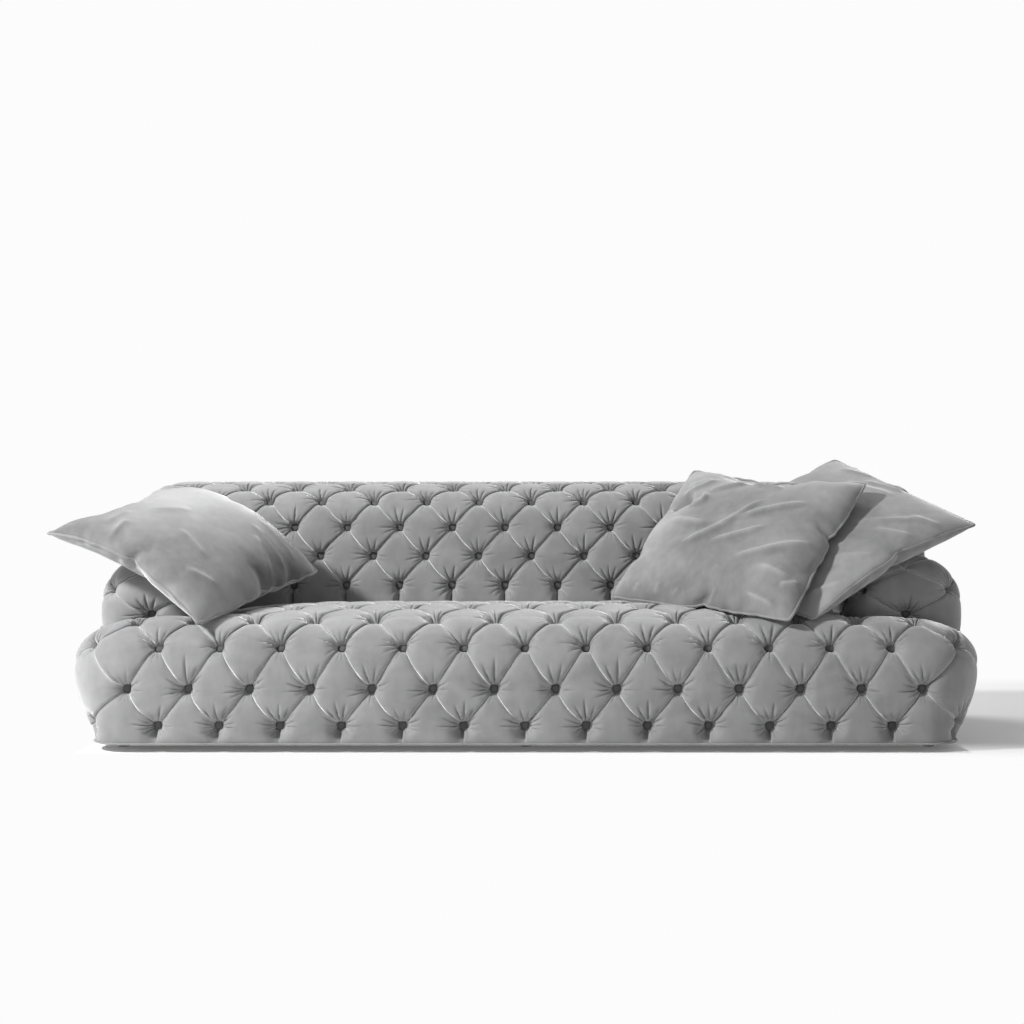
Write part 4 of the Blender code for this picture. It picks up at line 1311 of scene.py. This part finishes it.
@dataclass
class BackCover(StandingCover):
    """The tall back, leaning a little and rounded over its top and ends."""

    front: float = 0.1923
    rear: float = 0.535
    height: float = 0.806
    corner: float = 0.08
    roll: float = 0.14
    roll_drop: float = 0.15
    edge_turn: float = math.radians(60.0)
    levels: tuple[float, ...] = (0.3753, 0.462, 0.5595, 0.656, 0.7515)
    cloth_levels: tuple[float, ...] = (0.0, 0.083, 0.18, 0.276, 0.373, 0.45)
    crown_power: int = 8
    narrowing: tuple[float, float] = (0.985, 0.88)
    half_width: float = 1.332
    lean: float = math.tan(math.radians(7.0))
    deck: float = 0.375
    cloth_step: float = 0.1        # length of a lattice step backwards along the cloth
    columns: Array = field(default_factory=lambda: np.concatenate((
        [-1.332], 0.0887 * np.arange(-13, 14), [1.332])))

    def __post_init__(self) -> None:
        """Measures the lattice lines along the rounded rim."""
        super().__post_init__()
        self.wide_corner = Corner(self.half_width, self.corner)
        self.column_runs = self.wide_corner.run(self.columns)

    def front_at(self, height: Array) -> Array:
        """The leaning front plane."""
        return self.front + self.lean * (height - self.deck)

    def square(self, index: Array) -> Array:
        """Places on the square plan of lattice points."""
        _, height = self.section(index[:, 2])
        across = at_lines(index[:, 0], self.column_runs)
        deep = Corner((self.rear - self.front_at(height)) / 2.0, self.corner)
        run = (2.0 * index[:, 1] / self.lattice.counts[1] - 1.0) * deep.reach
        return np.column_stack((self.wide_corner.square(across), self.rear - deep.half + deep.square(run)))

    def cloth_place(self, index: Array) -> Array:
        """Lengths along the cloth of lattice points, for each lattice direction."""
        across = at_lines(index[:, 0], self.column_runs)
        up = at_lines(index[:, 2], self.cloth_levels)
        return np.column_stack((across, index[:, 1] * self.cloth_step, up))

    def side(self, index: Array) -> Array:
        """Places of lattice points on the four sides."""
        inset, height = self.section(index[:, 2])
        low = np.column_stack((np.full(len(index), -self.half_width), self.front_at(height)))
        high = np.array((self.half_width, self.rear))
        rim, outward = round_rim(self.square(index), low, high, self.corner)
        return self.stood(index, rim - outward * inset[:, None], height)

    def crown(self, plan: Array) -> Array:
        """Heights of the top over its plan."""
        _, rim_height = self.section(np.array([float(self.lattice.counts[2])]))
        front = self.front_at(rim_height)[0]
        return self.rolled_over(self.half_width - np.abs(plan[:, 0]),
                                np.minimum(plan[:, 1] - front, self.rear - plan[:, 1]))


@dataclass
class ArmCover(StandingCover):
    """A fat low arm, rounded over and at its front corners, run into the back."""

    front: float = -0.3047
    rear: float = 0.228
    height: float = 0.575
    corner: float = 0.10
    roll: float = 0.17
    roll_drop: float = 0.155
    edge_turn: float = math.radians(45.0)
    levels: tuple[float, ...] = (0.3753, 0.390, 0.470)
    cloth_levels: tuple[float, ...] = (0.0, 0.04, 0.125, 0.215)
    crown_power: int = 5
    narrowing: tuple[float, float] = (0.9, 0.9)
    sign: int = 1
    inner: float = 0.9903
    outer: float = 1.345
    sink_line: float = 3.65        # lattice line from which it sinks into the back
    sink_run: float = 0.3

    def __post_init__(self) -> None:
        """Sets the middle line."""
        super().__post_init__()
        self.axis = self.sign * ((self.inner + self.outer) / 2.0)
        self.across_corner = Corner((self.outer - self.inner) / 2.0, self.corner)

    def runs(self, index: Array) -> tuple[Array, Array]:
        """Lengths along the rim, across from the middle and back from the front."""
        wide, deep, _ = self.lattice.counts
        start = self.corner * (1.0 - math.pi / 4.0)
        across = (2.0 * index[:, 0] / wide - 1.0) * self.across_corner.reach
        return across, start + (self.rear - self.front - start) * index[:, 1] / deep

    def square(self, index: Array) -> Array:
        """Places on the square plan of lattice points."""
        across, run = self.runs(index)
        bend = np.tan(np.clip(self.corner - run, 0.0, None) / self.corner)
        back = np.where(run < self.corner, self.corner * (1.0 - bend), run)
        return np.column_stack((self.axis + self.across_corner.square(across), self.front + back))

    def cloth_place(self, index: Array) -> Array:
        """Lengths along the cloth of lattice points, for each lattice direction."""
        return np.column_stack((*self.runs(index), at_lines(index[:, 2], self.cloth_levels)))

    def side(self, index: Array) -> Array:
        """Places of lattice points on the four sides."""
        plan = self.square(index)
        inset, height = self.section(index[:, 2])
        half = self.across_corner.half
        low = np.array((self.axis - half, self.front))
        high = np.array((self.axis + half, self.rear + 2.0 * self.corner))
        rim, outward = round_rim(plan, low, high, self.corner)
        inner = self.axis + (plan[:, 0] - self.axis) * (1.0 - inset / half)
        straight = np.column_stack((inner, plan[:, 1]))
        at_rear = index[:, 1] > self.lattice.counts[1] - ON_LINE
        plan = np.where(at_rear[:, None], straight, rim - outward * inset[:, None])
        return self.stood(index, plan, height)

    def crown(self, plan: Array) -> Array:
        """Heights of the top over its plan."""
        aside = np.abs(plan[:, 0] - self.axis)
        return self.rolled_over(self.across_corner.half - aside, plan[:, 1] - self.front)

    def has_button(self, index: Array) -> Array:
        """Which lattice points may have a button.

        Low down only the middle of the front has one, and the top edge of the front has none.
        """
        ahead = index[:, 1] < 0.5
        high = index[:, 2] > self.lattice.counts[2] - 0.5
        return np.where(ahead, (index[:, 2] > 0.5) & ~high, index[:, 2] > 1.5)

    def shows(self, index: Array, points: Array) -> Array:
        """1 where the tufting is free, 0 where the arm runs into the back."""
        return 1.0 - smooth_step((index[:, 1] - self.sink_line) / self.sink_run)


@dataclass
class HemWelt:
    """The thin piped edge of the base, just off the floor."""

    radius: float = 0.0034
    rise: float = 0.6              # of its middle over the hem, in radii
    stride: int = 3
    stand_out: tuple[float, float, float] = (1.002, 1.009, 1.0)

    def build(self, hem: Array, material: bpy.types.Material) -> None:
        """Runs the welt along the hem."""
        path = hem[::self.stride] * np.array(self.stand_out)
        path[:, 2] += self.radius * self.rise
        hand_over(tube_along(path, self.radius, "hem_welt"), Body.ROOT, material)


# Cushions


@dataclass(frozen=True)
class Crease:
    """A soft fold on a cushion, between two places of its face from -1 to 1."""

    start: tuple[float, float]
    end: tuple[float, float]
    width: float = 0.010
    height: float = 0.008
    bow: float = 0.0


@dataclass(frozen=True)
class PaintedLightPatch:
    """A patch on a cushion painted lighter or darker: painted light and shade."""

    place: tuple[float, float]
    reach: float
    shade: float


def heading(bearing: float, slope: float) -> Array:
    """Unit direction from a plan bearing and a slope, in degrees."""
    turn, rise = math.radians(bearing), math.radians(slope)
    return np.array((math.cos(rise) * math.cos(turn), math.cos(rise) * math.sin(turn), math.sin(rise)))


@dataclass
class ScatterCushion:
    """A square feather cushion with a corded seam, stuffed by simulation and laid on the sofa."""

    name: str
    body: Body
    middle: Triple
    first_side: tuple[float, float]        # bearing and slope, in degrees
    second_side: tuple[float, float]
    arch: float
    droop: float
    upper_fill: float
    lower_fill: float
    seed: int
    creases: tuple[Crease, ...] = ()
    # Patches of painted light and shade on the upper face
    pile_streaks_and_painted_light: tuple[PaintedLightPatch, ...] = ()
    spread: tuple[float, float] = (1.0, 1.0)
    dip: float = 0.0               # of the middle of the upper edge
    crest_painted_highlight: float = 0.38              # how much the painted highlight lightens the crest of a full fold
    crest_highlight_limit: float = 1.2         # of higher folds, in full folds
    full_fold: float = 0.012
    crease_power: float = 1.25
    crease_taper: tuple[float, float] = (3.5, 0.05)        # how fast a crease rises, and from what height
    size: float = 0.62
    cells: int = 56
    draw: float = 0.03
    swell: float = 0.6
    slack: float = 0.02            # how much longer the cloth grows
    ripple: float = 0.001
    case_gap: float = 0.01         # of each face from the seam, before stuffing
    weld: float = 0.0005
    side_middle: float = 0.2       # share of half a side that counts as its middle
    calm: int = 8                  # rounds of smoothing, away from the seam
    seam_calm: float = 0.4         # how much of it the seam takes, except at its corners
    corner_share: float = 0.9
    volume: float = 0.026
    frames: int = 40
    pressure: float = 3.0
    cord: float = 0.0045

    @property
    def half(self) -> float:
        """Half of a side."""
        return self.size / 2.0

    def puffed(self, flat: Array) -> Array:
        """The case's points swollen into a plain cushion, its sides drawn in between the corners."""
        share = flat[:, :2] / self.half
        inside = np.clip((1.0 - share[:, 0] ** 2) * (1.0 - share[:, 1] ** 2), 0.0, None) ** self.swell
        points = flat.copy()
        points[:, :2] *= 1.0 - self.draw * (1.0 - share[:, ::-1] ** 2)
        points[:, 2] = np.where(flat[:, 2] > 0.0, self.upper_fill, -self.lower_fill) * inside
        return points

    def case(self) -> bpy.types.Object:
        """The flat case: two squares sewn together round the edge."""
        faces = []
        for side in (1.0, -1.0):
            deselect()
            bpy.ops.mesh.primitive_grid_add(x_subdivisions=self.cells, y_subdivisions=self.cells,
                                            size=self.size)
            face = bpy.context.object
            points = points_of(face.data)
            edge = np.abs(points[:, :2]).max(axis=1) > self.half - ON_LINE
            points[:, 2] = np.where(edge, 0.0, side * self.case_gap)
            move_points(face.data, points)
            faces.append(face)
        case = join(faces, self.name)
        bpy.ops.object.mode_set(mode="EDIT")
        bpy.ops.mesh.select_all(action="SELECT")
        bpy.ops.mesh.remove_doubles(threshold=self.weld)
        bpy.ops.mesh.normals_make_consistent(inside=False)
        bpy.ops.object.mode_set(mode="OBJECT")
        return case

    def stuff(self, case: bpy.types.Object) -> None:
        """Swells the flat case to its filling by cloth simulation."""
        cloth = case.modifiers.new("stuffing", "CLOTH")
        settings = cloth.settings
        settings.quality = 6
        settings.mass = 0.15
        settings.tension_stiffness = 40.0
        settings.compression_stiffness = 12.0
        settings.shear_stiffness = 10.0
        settings.bending_stiffness = 0.05
        settings.shrink_min = -self.slack
        settings.use_pressure = True
        settings.uniform_pressure_force = 0.0
        settings.use_pressure_volume = True
        settings.target_volume = self.volume
        settings.pressure_factor = self.pressure
        settings.effector_weights.gravity = 0.0
        cloth.collision_settings.use_collision = False
        cloth.point_cache.frame_start = 1
        cloth.point_cache.frame_end = self.frames
        for frame in range(1, self.frames + 1):
            bpy.context.scene.frame_set(frame)
        apply_modifier(case, cloth)
        bpy.context.scene.frame_set(1)

    def filled(self, flat: Array, stuffed: Array) -> Array:
        """Fits the swollen case to its size and to the fill of each face.

        Args:
            flat: points of the flat case.
            stuffed: the same points after simulation.

        Returns:
            The fitted points, seen from the cushion's middle.
        """
        share = flat[:, :2] / self.half
        nearest, furthest = np.abs(share).min(axis=1), np.abs(share).max(axis=1)
        corner = nearest > 1.0 - ON_LINE
        points = stuffed - stuffed.mean(axis=0)
        points[:, :2] *= self.half / np.abs(points[corner, :2]).mean()
        middle = (furthest > 1.0 - ON_LINE) & (nearest < self.side_middle)
        drawn = 1.0 - np.abs(points[middle, :2]).max(axis=1).mean() / self.half
        room = 1.0 - share[:, ::-1] ** 2
        points[:, :2] *= (1.0 - self.draw * room) / (1.0 - drawn * room)
        thick = np.abs(points[:, 2]).max()
        LOG.info("%s: drawn in by %.3f, swelled to %.3f", self.name, drawn, thick)
        points[:, 2] *= np.where(flat[:, 2] > 0.0, self.upper_fill, self.lower_fill) / thick
        return points

    def crease_height(self, place: Array) -> Array:
        """Height of the folds over places of the upper face."""
        total = np.zeros(len(place))
        for crease in self.creases:
            start, end = np.array(crease.start), np.array(crease.end)
            run = end - start
            length = np.linalg.norm(run)
            aside = np.array((-run[1], run[0])) / length
            along = (place - start) @ run / length ** 2
            inside = np.clip(along, 0.0, 1.0)
            bowed = crease.bow * 4.0 * inside * (1.0 - inside)
            line = start + inside[:, None] * run + aside * bowed[:, None]
            away = np.linalg.norm(place - line, axis=1) * self.half
            steepness, least = self.crease_taper
            taper = smooth_step(np.minimum(inside, 1.0 - inside) * steepness + least)
            total += crease.height * np.exp(-(away / crease.width) ** self.crease_power) * taper
        return total

    def pile_tone_and_painted_light(self, flat: Array, folds: Array) -> Array:
        """Painted light and shade: a painted highlight on the crests of folds and patches painted lighter
        or darker.

        Args:
            flat: places on the flat case with the side of the seam.
            folds: height of the folds there.

        Returns:
            The change of shade of each point.
        """
        total = self.crest_painted_highlight * np.clip(folds / self.full_fold, 0.0, self.crest_highlight_limit) ** 2
        for light_patch in self.pile_streaks_and_painted_light:
            away = np.linalg.norm(flat[:, :2] / self.half - np.array(light_patch.place), axis=1)
            total += light_patch.shade * np.exp(-(away / light_patch.reach) ** 2)
        return total * (flat[:, 2] > -0.5)

    def lay(self, stuffed: Array, upper: Array) -> Array:
        """Lays the stuffed case over the sofa.

        Args:
            stuffed: points of the case after stuffing, seen from the cushion's middle.
            upper: 1 on the upper face, 0 on the seam, -1 on the lower face.

        Returns:
            Their places on the sofa.
        """
        first = heading(*self.first_side) * self.spread[0] * self.half
        second = heading(*self.second_side) * self.spread[1] * self.half
        normal = np.cross(first, second)
        normal *= math.copysign(1.0, normal[2]) / np.linalg.norm(normal)
        place = stuffed[:, :2] / self.half
        height = stuffed[:, 2] + np.clip(upper, 0.0, 1.0) * self.crease_height(place)
        sag = self.droop * (1.0 - place[:, 0]) * (1.0 + place[:, 1]) / 4.0 + self.arch * place[:, 0] ** 2
        sag += self.dip * np.clip(place[:, 0], 0.0, 1.0) ** 2 * (1.0 - place[:, 1] ** 2)
        points = place[:, :1] * first + place[:, 1:] * second + height[:, None] * normal
        points[:, 2] -= sag
        return points + np.array(self.middle)

    def seam(self, flat: Array) -> Array:
        """Numbers of the seam's points in order round the cushion, from places on the flat case."""
        on_seam = np.flatnonzero(np.abs(flat[:, 2]) < ON_LINE)
        across, along = (flat[on_seam, :2] / np.abs(flat[on_seam, :2]).max(axis=1)[:, None]).T
        turn = np.where(along < -1.0 + ON_LINE, across + 1.0,
                        np.where(across > 1.0 - ON_LINE, along + 3.0,
                                 np.where(along > 1.0 - ON_LINE, 5.0 - across, 7.0 - along)))
        return on_seam[np.argsort(turn)]

    def softened(self, cushion: bpy.types.Object, flat: Array) -> bpy.types.Mesh:
        """Calms and refines the stuffed case.

        Args:
            cushion: the case.
            flat: its points before stuffing.

        Returns:
            The finer mesh, with an attribute for places on the flat case and the side of the seam.
        """
        on_face = np.sign(np.where(np.abs(flat[:, 2]) > ON_LINE, flat[:, 2], 0.0))
        kept = cushion.data.attributes.new("flat", "FLOAT_VECTOR", "POINT")
        kept.data.foreach_set("vector", np.column_stack((flat[:, :2], on_face)).ravel())
        faces = cushion.vertex_groups.new(name="faces")
        at_corner = np.abs(flat[:, :2]).min(axis=1) > self.corner_share * self.half
        for chosen, weight in ((on_face != 0.0, 1.0), ((on_face == 0.0) & ~at_corner, self.seam_calm)):
            faces.add(np.flatnonzero(chosen).tolist(), weight, "REPLACE")
        calm = cushion.modifiers.new("calm", "SMOOTH")
        calm.vertex_group = faces.name
        calm.iterations = self.calm
        apply_modifier(cushion, calm)
        smooth = cushion.modifiers.new("soften", "SUBSURF")
        smooth.levels = 1
        smooth.render_levels = 1
        apply_modifier(cushion, smooth)
        return cushion.data

    def build(self, material: bpy.types.Material) -> None:
        """Makes the cushion and its corded seam."""
        cushion = self.case()
        flat = points_of(cushion.data)
        stuffed = self.puffed(flat)
        rng = np.random.default_rng(self.seed)
        free = np.abs(flat[:, 2]) > ON_LINE
        start = flat.copy()
        start[:, 2] += free * rng.normal(0.0, self.ripple, len(flat))
        move_points(cushion.data, start)
        self.stuff(cushion)
        stuffed = self.filled(flat, points_of(cushion.data))
        move_points(cushion.data, stuffed)
        mesh = self.softened(cushion, flat)
        place = rows_of(mesh.attributes["flat"].data, "vector")
        loose = points_of(mesh)
        folds = self.crease_height(loose[:, :2] / self.half)
        placed = self.lay(loose, place[:, 2])
        move_points(mesh, placed)
        # Painted light and shade that the velvet adds to its colour
        mesh.attributes.new("pile_tone_and_painted_light", "FLOAT", "POINT").data.foreach_set("value", self.pile_tone_and_painted_light(place, folds))
        smooth_faces(mesh)
        cording = tube_along(placed[self.seam(place)], self.cord, f"{self.name}_cording")
        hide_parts(self.body.value)
        hand_over(cushion, self.body, material)
        hand_over(cording, self.body, material)


LEFT_CUSHION = ScatterCushion(
    "left_scatter_cushion", Body.LEFT, middle=(-1.072, -0.172, 0.636), first_side=(161.1, 26.5),
    second_side=(63.5, 12.5), arch=0.062, droop=0.0, upper_fill=0.070, lower_fill=0.088, seed=3,
    spread=(0.95, 1.0),
    # Patches of painted light and shade
    pile_streaks_and_painted_light=(PaintedLightPatch((0.30, 0.42), 0.50, 0.42), PaintedLightPatch((-0.78, 0.35), 0.50, -0.55),
             PaintedLightPatch((0.85, -0.65), 0.50, -0.45), PaintedLightPatch((-0.25, -0.60), 0.45, -0.25),
             PaintedLightPatch((-0.85, -0.75), 0.28, 0.22)),
    creases=(
        Crease((0.98, -0.75), (0.95, 0.55), 0.090, -0.030),
        Crease((0.70, -0.58), (0.67, 0.0), 0.009, 0.006),
        Crease((0.45, -0.80), (0.52, -0.35), 0.014, 0.007),
        Crease((-0.50, 0.42), (-0.97, 0.19), 0.010, 0.007),
        Crease((-0.35, 0.55), (-0.95, 0.45), 0.010, 0.007),
        Crease((-0.30, 0.72), (-0.90, 0.70), 0.010, 0.006),
        Crease((0.92, 0.40), (0.95, 0.81), 0.012, 0.010),
        Crease((0.80, 0.10), (0.88, 0.50), 0.012, 0.008),
        Crease((0.40, -0.30), (0.05, 0.10), 0.022, 0.007),
        Crease((-0.10, -0.35), (-0.60, -0.45), 0.016, 0.006),
        Crease((-0.55, -0.75), (-0.85, -0.55), 0.012, 0.007),
        Crease((0.34, -0.60), (0.24, -0.97), 0.012, 0.008)))
RIGHT_REAR_CUSHION = ScatterCushion(
    "right_rear_scatter_cushion", Body.RIGHT_REAR, middle=(0.94, -0.141, 0.677), first_side=(20.0, 26.5),
    second_side=(128.6, 20.3), arch=0.045, droop=0.10, upper_fill=0.04, lower_fill=0.118, seed=11,
    # Patches of painted light and shade
    pile_streaks_and_painted_light=(PaintedLightPatch((0.15, -0.45), 0.40, -0.14), PaintedLightPatch((-0.75, -0.75), 0.35, 0.20),
             PaintedLightPatch((0.85, 0.10), 0.30, -0.10)),
    creases=(
        Crease((-0.86, -0.70), (-0.56, -0.95), 0.010, 0.008),
        Crease((-0.40, -0.55), (-0.15, -0.92), 0.010, 0.008),
        Crease((0.10, -0.55), (0.30, -0.95), 0.010, 0.008),
        Crease((0.05, -0.30), (0.62, -0.80), 0.012, 0.007),
        Crease((0.52, -0.60), (0.64, -0.95), 0.010, 0.007),
        Crease((0.77, 0.32), (0.90, -0.15), 0.012, 0.010),
        Crease((0.60, 0.42), (0.74, -0.20), 0.012, 0.008),
        Crease((0.80, 0.75), (0.95, 0.30), 0.010, 0.007)))
RIGHT_FRONT_CUSHION = ScatterCushion(
    "right_front_scatter_cushion", Body.RIGHT_FRONT, middle=(0.662, -0.15, 0.613), first_side=(52.0, 41.4),
    second_side=(144.5, 4.3), arch=0.0, droop=0.0, upper_fill=0.085, lower_fill=-0.001, seed=23,
    spread=(1.0, 1.03), dip=0.02,
    # Patches of painted light and shade
    pile_streaks_and_painted_light=(PaintedLightPatch((-0.35, 0.0), 1.0, -0.20), PaintedLightPatch((0.22, 0.15), 0.30, -0.12),
             PaintedLightPatch((-0.05, 0.62), 0.25, 0.16), PaintedLightPatch((-0.45, -0.45), 0.25, 0.08)),
    creases=(
        Crease((0.86, 0.60), (0.90, -0.50), 0.050, -0.030),
        Crease((-0.37, 0.41), (0.04, -0.03), 0.008, 0.014),
        Crease((0.04, -0.03), (0.43, -0.69), 0.008, 0.014, bow=0.03),
        Crease((0.47, 0.49), (0.70, 0.11), 0.009, 0.014),
        Crease((0.70, 0.11), (0.63, -0.31), 0.010, 0.012),
        Crease((0.0, 0.75), (-0.08, 0.22), 0.014, 0.012),
        Crease((-0.12, 0.11), (0.40, -0.20), 0.008, 0.011),
        Crease((-0.32, 0.11), (-0.01, -0.42), 0.008, 0.013),
        Crease((-0.51, -0.20), (-0.05, -0.95), 0.009, 0.014),
        Crease((-0.52, -0.52), (-0.60, -0.90), 0.009, 0.012),
        Crease((-0.85, -0.49), (-0.93, -0.86), 0.009, 0.011),
        Crease((0.38, 0.80), (0.73, 0.47), 0.009, 0.012),
        Crease((0.54, 0.78), (0.72, 0.55), 0.008, 0.011),
        Crease((0.20, 0.62), (0.47, 0.52), 0.010, 0.016, bow=-0.10),
        Crease((0.22, 0.88), (0.38, 0.60), 0.026, -0.032),
        Crease((-0.97, 0.72), (-0.86, 0.66), 0.007, 0.008),
        Crease((-0.97, 0.48), (-0.84, 0.44), 0.007, 0.008),
        Crease((-0.97, 0.28), (-0.88, 0.20), 0.007, 0.008),
        Crease((-0.97, -0.10), (-0.84, -0.20), 0.007, 0.008),
        Crease((-0.60, -0.97), (-0.70, -0.80), 0.010, 0.012)))


# Studio


@dataclass
class Studio:
    """White studio: floor, a soft key light from the front left, a light over the back, and the camera."""

    camera_place: Triple = (0.146, -5.715, 0.7037)
    camera_shift: float = -0.0614
    focal_pixels: float = 1766.0
    sensor: float = 36.0
    white: float = 0.975
    paper: float = 0.92            # of the floor
    least_glow: float = 0.12       # painted light: glow of the floor that lifts the shade under the sofa and in its shadow
    ambient: float = 0.52
    zenith: float = 0.30           # light from straight above
    key_place: Triple = (-4.4, -2.4, 3.7)
    key_power: float = 430.0
    key_size: float = 0.6
    top_place: Triple = (-0.5, 1.8, 3.4)
    top_power: float = 75.0
    top_size: float = 1.5
    aim: Triple = (0.1, 0.1, 0.35)
    floor_half: float = 15.0
    # Middle and half sides of a box, and how far out the floor starts and ends to clear
    shaded: tuple[tuple[tuple[float, float], tuple[float, float], float, float], ...] = (
        ((0.0, 0.0), (1.30, 0.55), 0.0, 0.02),
        ((1.75, 0.55), (0.45, 0.75), 0.1, 0.5),
    )

    def camera(self) -> None:
        """Sets the camera at the photograph's place."""
        lens = bpy.data.cameras.new("camera")
        lens.sensor_width = self.sensor
        lens.lens = self.focal_pixels * self.sensor / IMAGE_PIXELS
        lens.shift_x = self.camera_shift
        camera = bpy.data.objects.new("camera", lens)
        camera.location = self.camera_place
        camera.rotation_euler = (math.pi / 2.0, 0.0, 0.0)
        bpy.context.scene.collection.objects.link(camera)
        bpy.context.scene.camera = camera

    def lamp(self, name: str, place: Triple, power: float, size: float) -> None:
        """Hangs a round soft light that faces the sofa."""
        light = bpy.data.lights.new(name, "AREA")
        light.shape = "DISK"
        light.size = size
        light.energy = power
        lamp = bpy.data.objects.new(name, light)
        lamp.location = place
        facing = Vector(self.aim) - Vector(place)
        lamp.rotation_euler = facing.to_track_quat("-Z", "Y").to_euler()
        bpy.context.scene.collection.objects.link(lamp)

    def seen(self, nodes: Nodes) -> Socket:
        """1 for rays from the camera, or by way of gloss or glass."""
        path = nodes.add("ShaderNodeLightPath").outputs
        direct = nodes.math("MAXIMUM", path["Is Camera Ray"], path["Is Glossy Ray"])
        return nodes.math("MAXIMUM", direct, path["Is Transmission Ray"])

    def sky(self, nodes: Nodes) -> Socket:
        """Strength of the light from around, which falls off towards straight above."""
        up = nodes.parts(nodes.coordinates("Generated"))[2]
        return nodes.remap(up, 0.0, 1.0, self.ambient, self.zenith)

    def world(self) -> None:
        """A white surround, dimmer where it lights the sofa."""
        world = bpy.data.worlds.new("studio")
        world.use_nodes = True
        nodes = Nodes(world.node_tree)
        lights = [nodes.apply("ShaderNodeBackground", OPAQUE_WHITE, strength)
                  for strength in (self.sky(nodes), self.white)]
        nodes.mix_out(self.seen(nodes), *lights, "ShaderNodeOutputWorld")
        bpy.context.scene.world = world

    def far_out(self, nodes: Nodes) -> Socket:
        """Low by the sofa and in its shadow, rising to 1 on the open floor."""
        place = nodes.coordinates("Object")
        least: Socket | float = 1.0
        for middle, half, start, end in self.shaded:
            moved = nodes.apply("ShaderNodeMapping", place, (-middle[0], -middle[1], 0.0))
            aside = nodes.apply("ShaderNodeVectorMath", moved, operation="ABSOLUTE")
            over = nodes.apply("ShaderNodeVectorMath", aside, (*half, 0.0), operation="SUBTRACT")
            outside = nodes.apply("ShaderNodeVectorMath", over, (0.0, 0.0, 0.0), operation="MAXIMUM")
            away = nodes.apply("ShaderNodeVectorMath", outside, operation="LENGTH", output="Value")
            clear = nodes.remap(away, start, end, self.least_glow, interpolation_type="SMOOTHSTEP")
            least = nodes.math("MINIMUM", least, clear)
        return least

    def floor(self) -> None:
        """A pale floor that keeps the shadow by the sofa and runs out to white."""
        deselect()
        bpy.ops.mesh.primitive_plane_add(size=2.0 * self.floor_half)
        floor = bpy.context.object
        floor.name = "floor"
        material = bpy.data.materials.new("studio_floor")
        material.use_nodes = True
        nodes = Nodes(material.node_tree)
        paper = nodes.apply("ShaderNodeBsdfDiffuse", (self.paper, self.paper, self.paper, 1.0))
        glow = nodes.apply("ShaderNodeEmission", OPAQUE_WHITE, self.white)
        share = nodes.math("MULTIPLY", self.far_out(nodes), self.seen(nodes))
        nodes.mix_out(share, paper, glow, "ShaderNodeOutputMaterial")
        floor.data.materials.append(material)

    def build(self) -> None:
        """Sets up the whole studio."""
        bpy.context.scene.view_settings.view_transform = "Standard"
        self.camera()
        self.lamp("key", self.key_place, self.key_power, self.key_size)
        self.lamp("top", self.top_place, self.top_power, self.top_size)
        self.world()
        self.floor()


def main() -> None:
    """Loads the frame, dresses it and sets the studio round it."""
    logging.basicConfig(level=logging.INFO, format="%(name)s %(message)s")
    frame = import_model()
    Studio().build()
    dress_frame(frame)
    velvet = COVER_VELVET.material()
    shaded_button_velvet = SHADED_BUTTON_VELVET.material()
    cushion_velvet = CUSHION_VELVET.material()
    padding = Padding()
    button = CoveredButton()
    base = BaseCover("base_upholstery", "base_cover", Lattice((28, 8, 4), 1), padding, has_flutes=True,
                     under_steps=2, seed=1.0)
    hem = base.build(velvet, button, shaded_button_velvet)
    HemWelt().build(hem, velvet)
    taut = Padding(crown=0.002, pit=0.027, pit_reach=0.016, slump=0.006, gather=0.010, flute=0.030,
                   flute_width=0.012)
    back = BackCover("back_upholstery", "back_cover", Lattice((28, 3, 5), 0), taut, has_flutes=True,
                     under_steps=1, seed=2.0, base=base)
    back.build(velvet, button, shaded_button_velvet)
    for side, sign, outer in (("left", -1, 1.322), ("right", 1, 1.345)):
        lattice = Lattice((2, 4, 3), 0, fine=28)
        arm = ArmCover(f"{side}_arm_upholstery", f"{side}_arm_cover", lattice, padding, has_flutes=False,
                       under_steps=1, seed=3.0 + sign, base=base, sign=sign, outer=outer)
        arm.build(velvet, button, shaded_button_velvet)
    for cushion in (LEFT_CUSHION, RIGHT_REAR_CUSHION, RIGHT_FRONT_CUSHION):
        cushion.build(cushion_velvet)


if __name__ == "__main__":
    main()
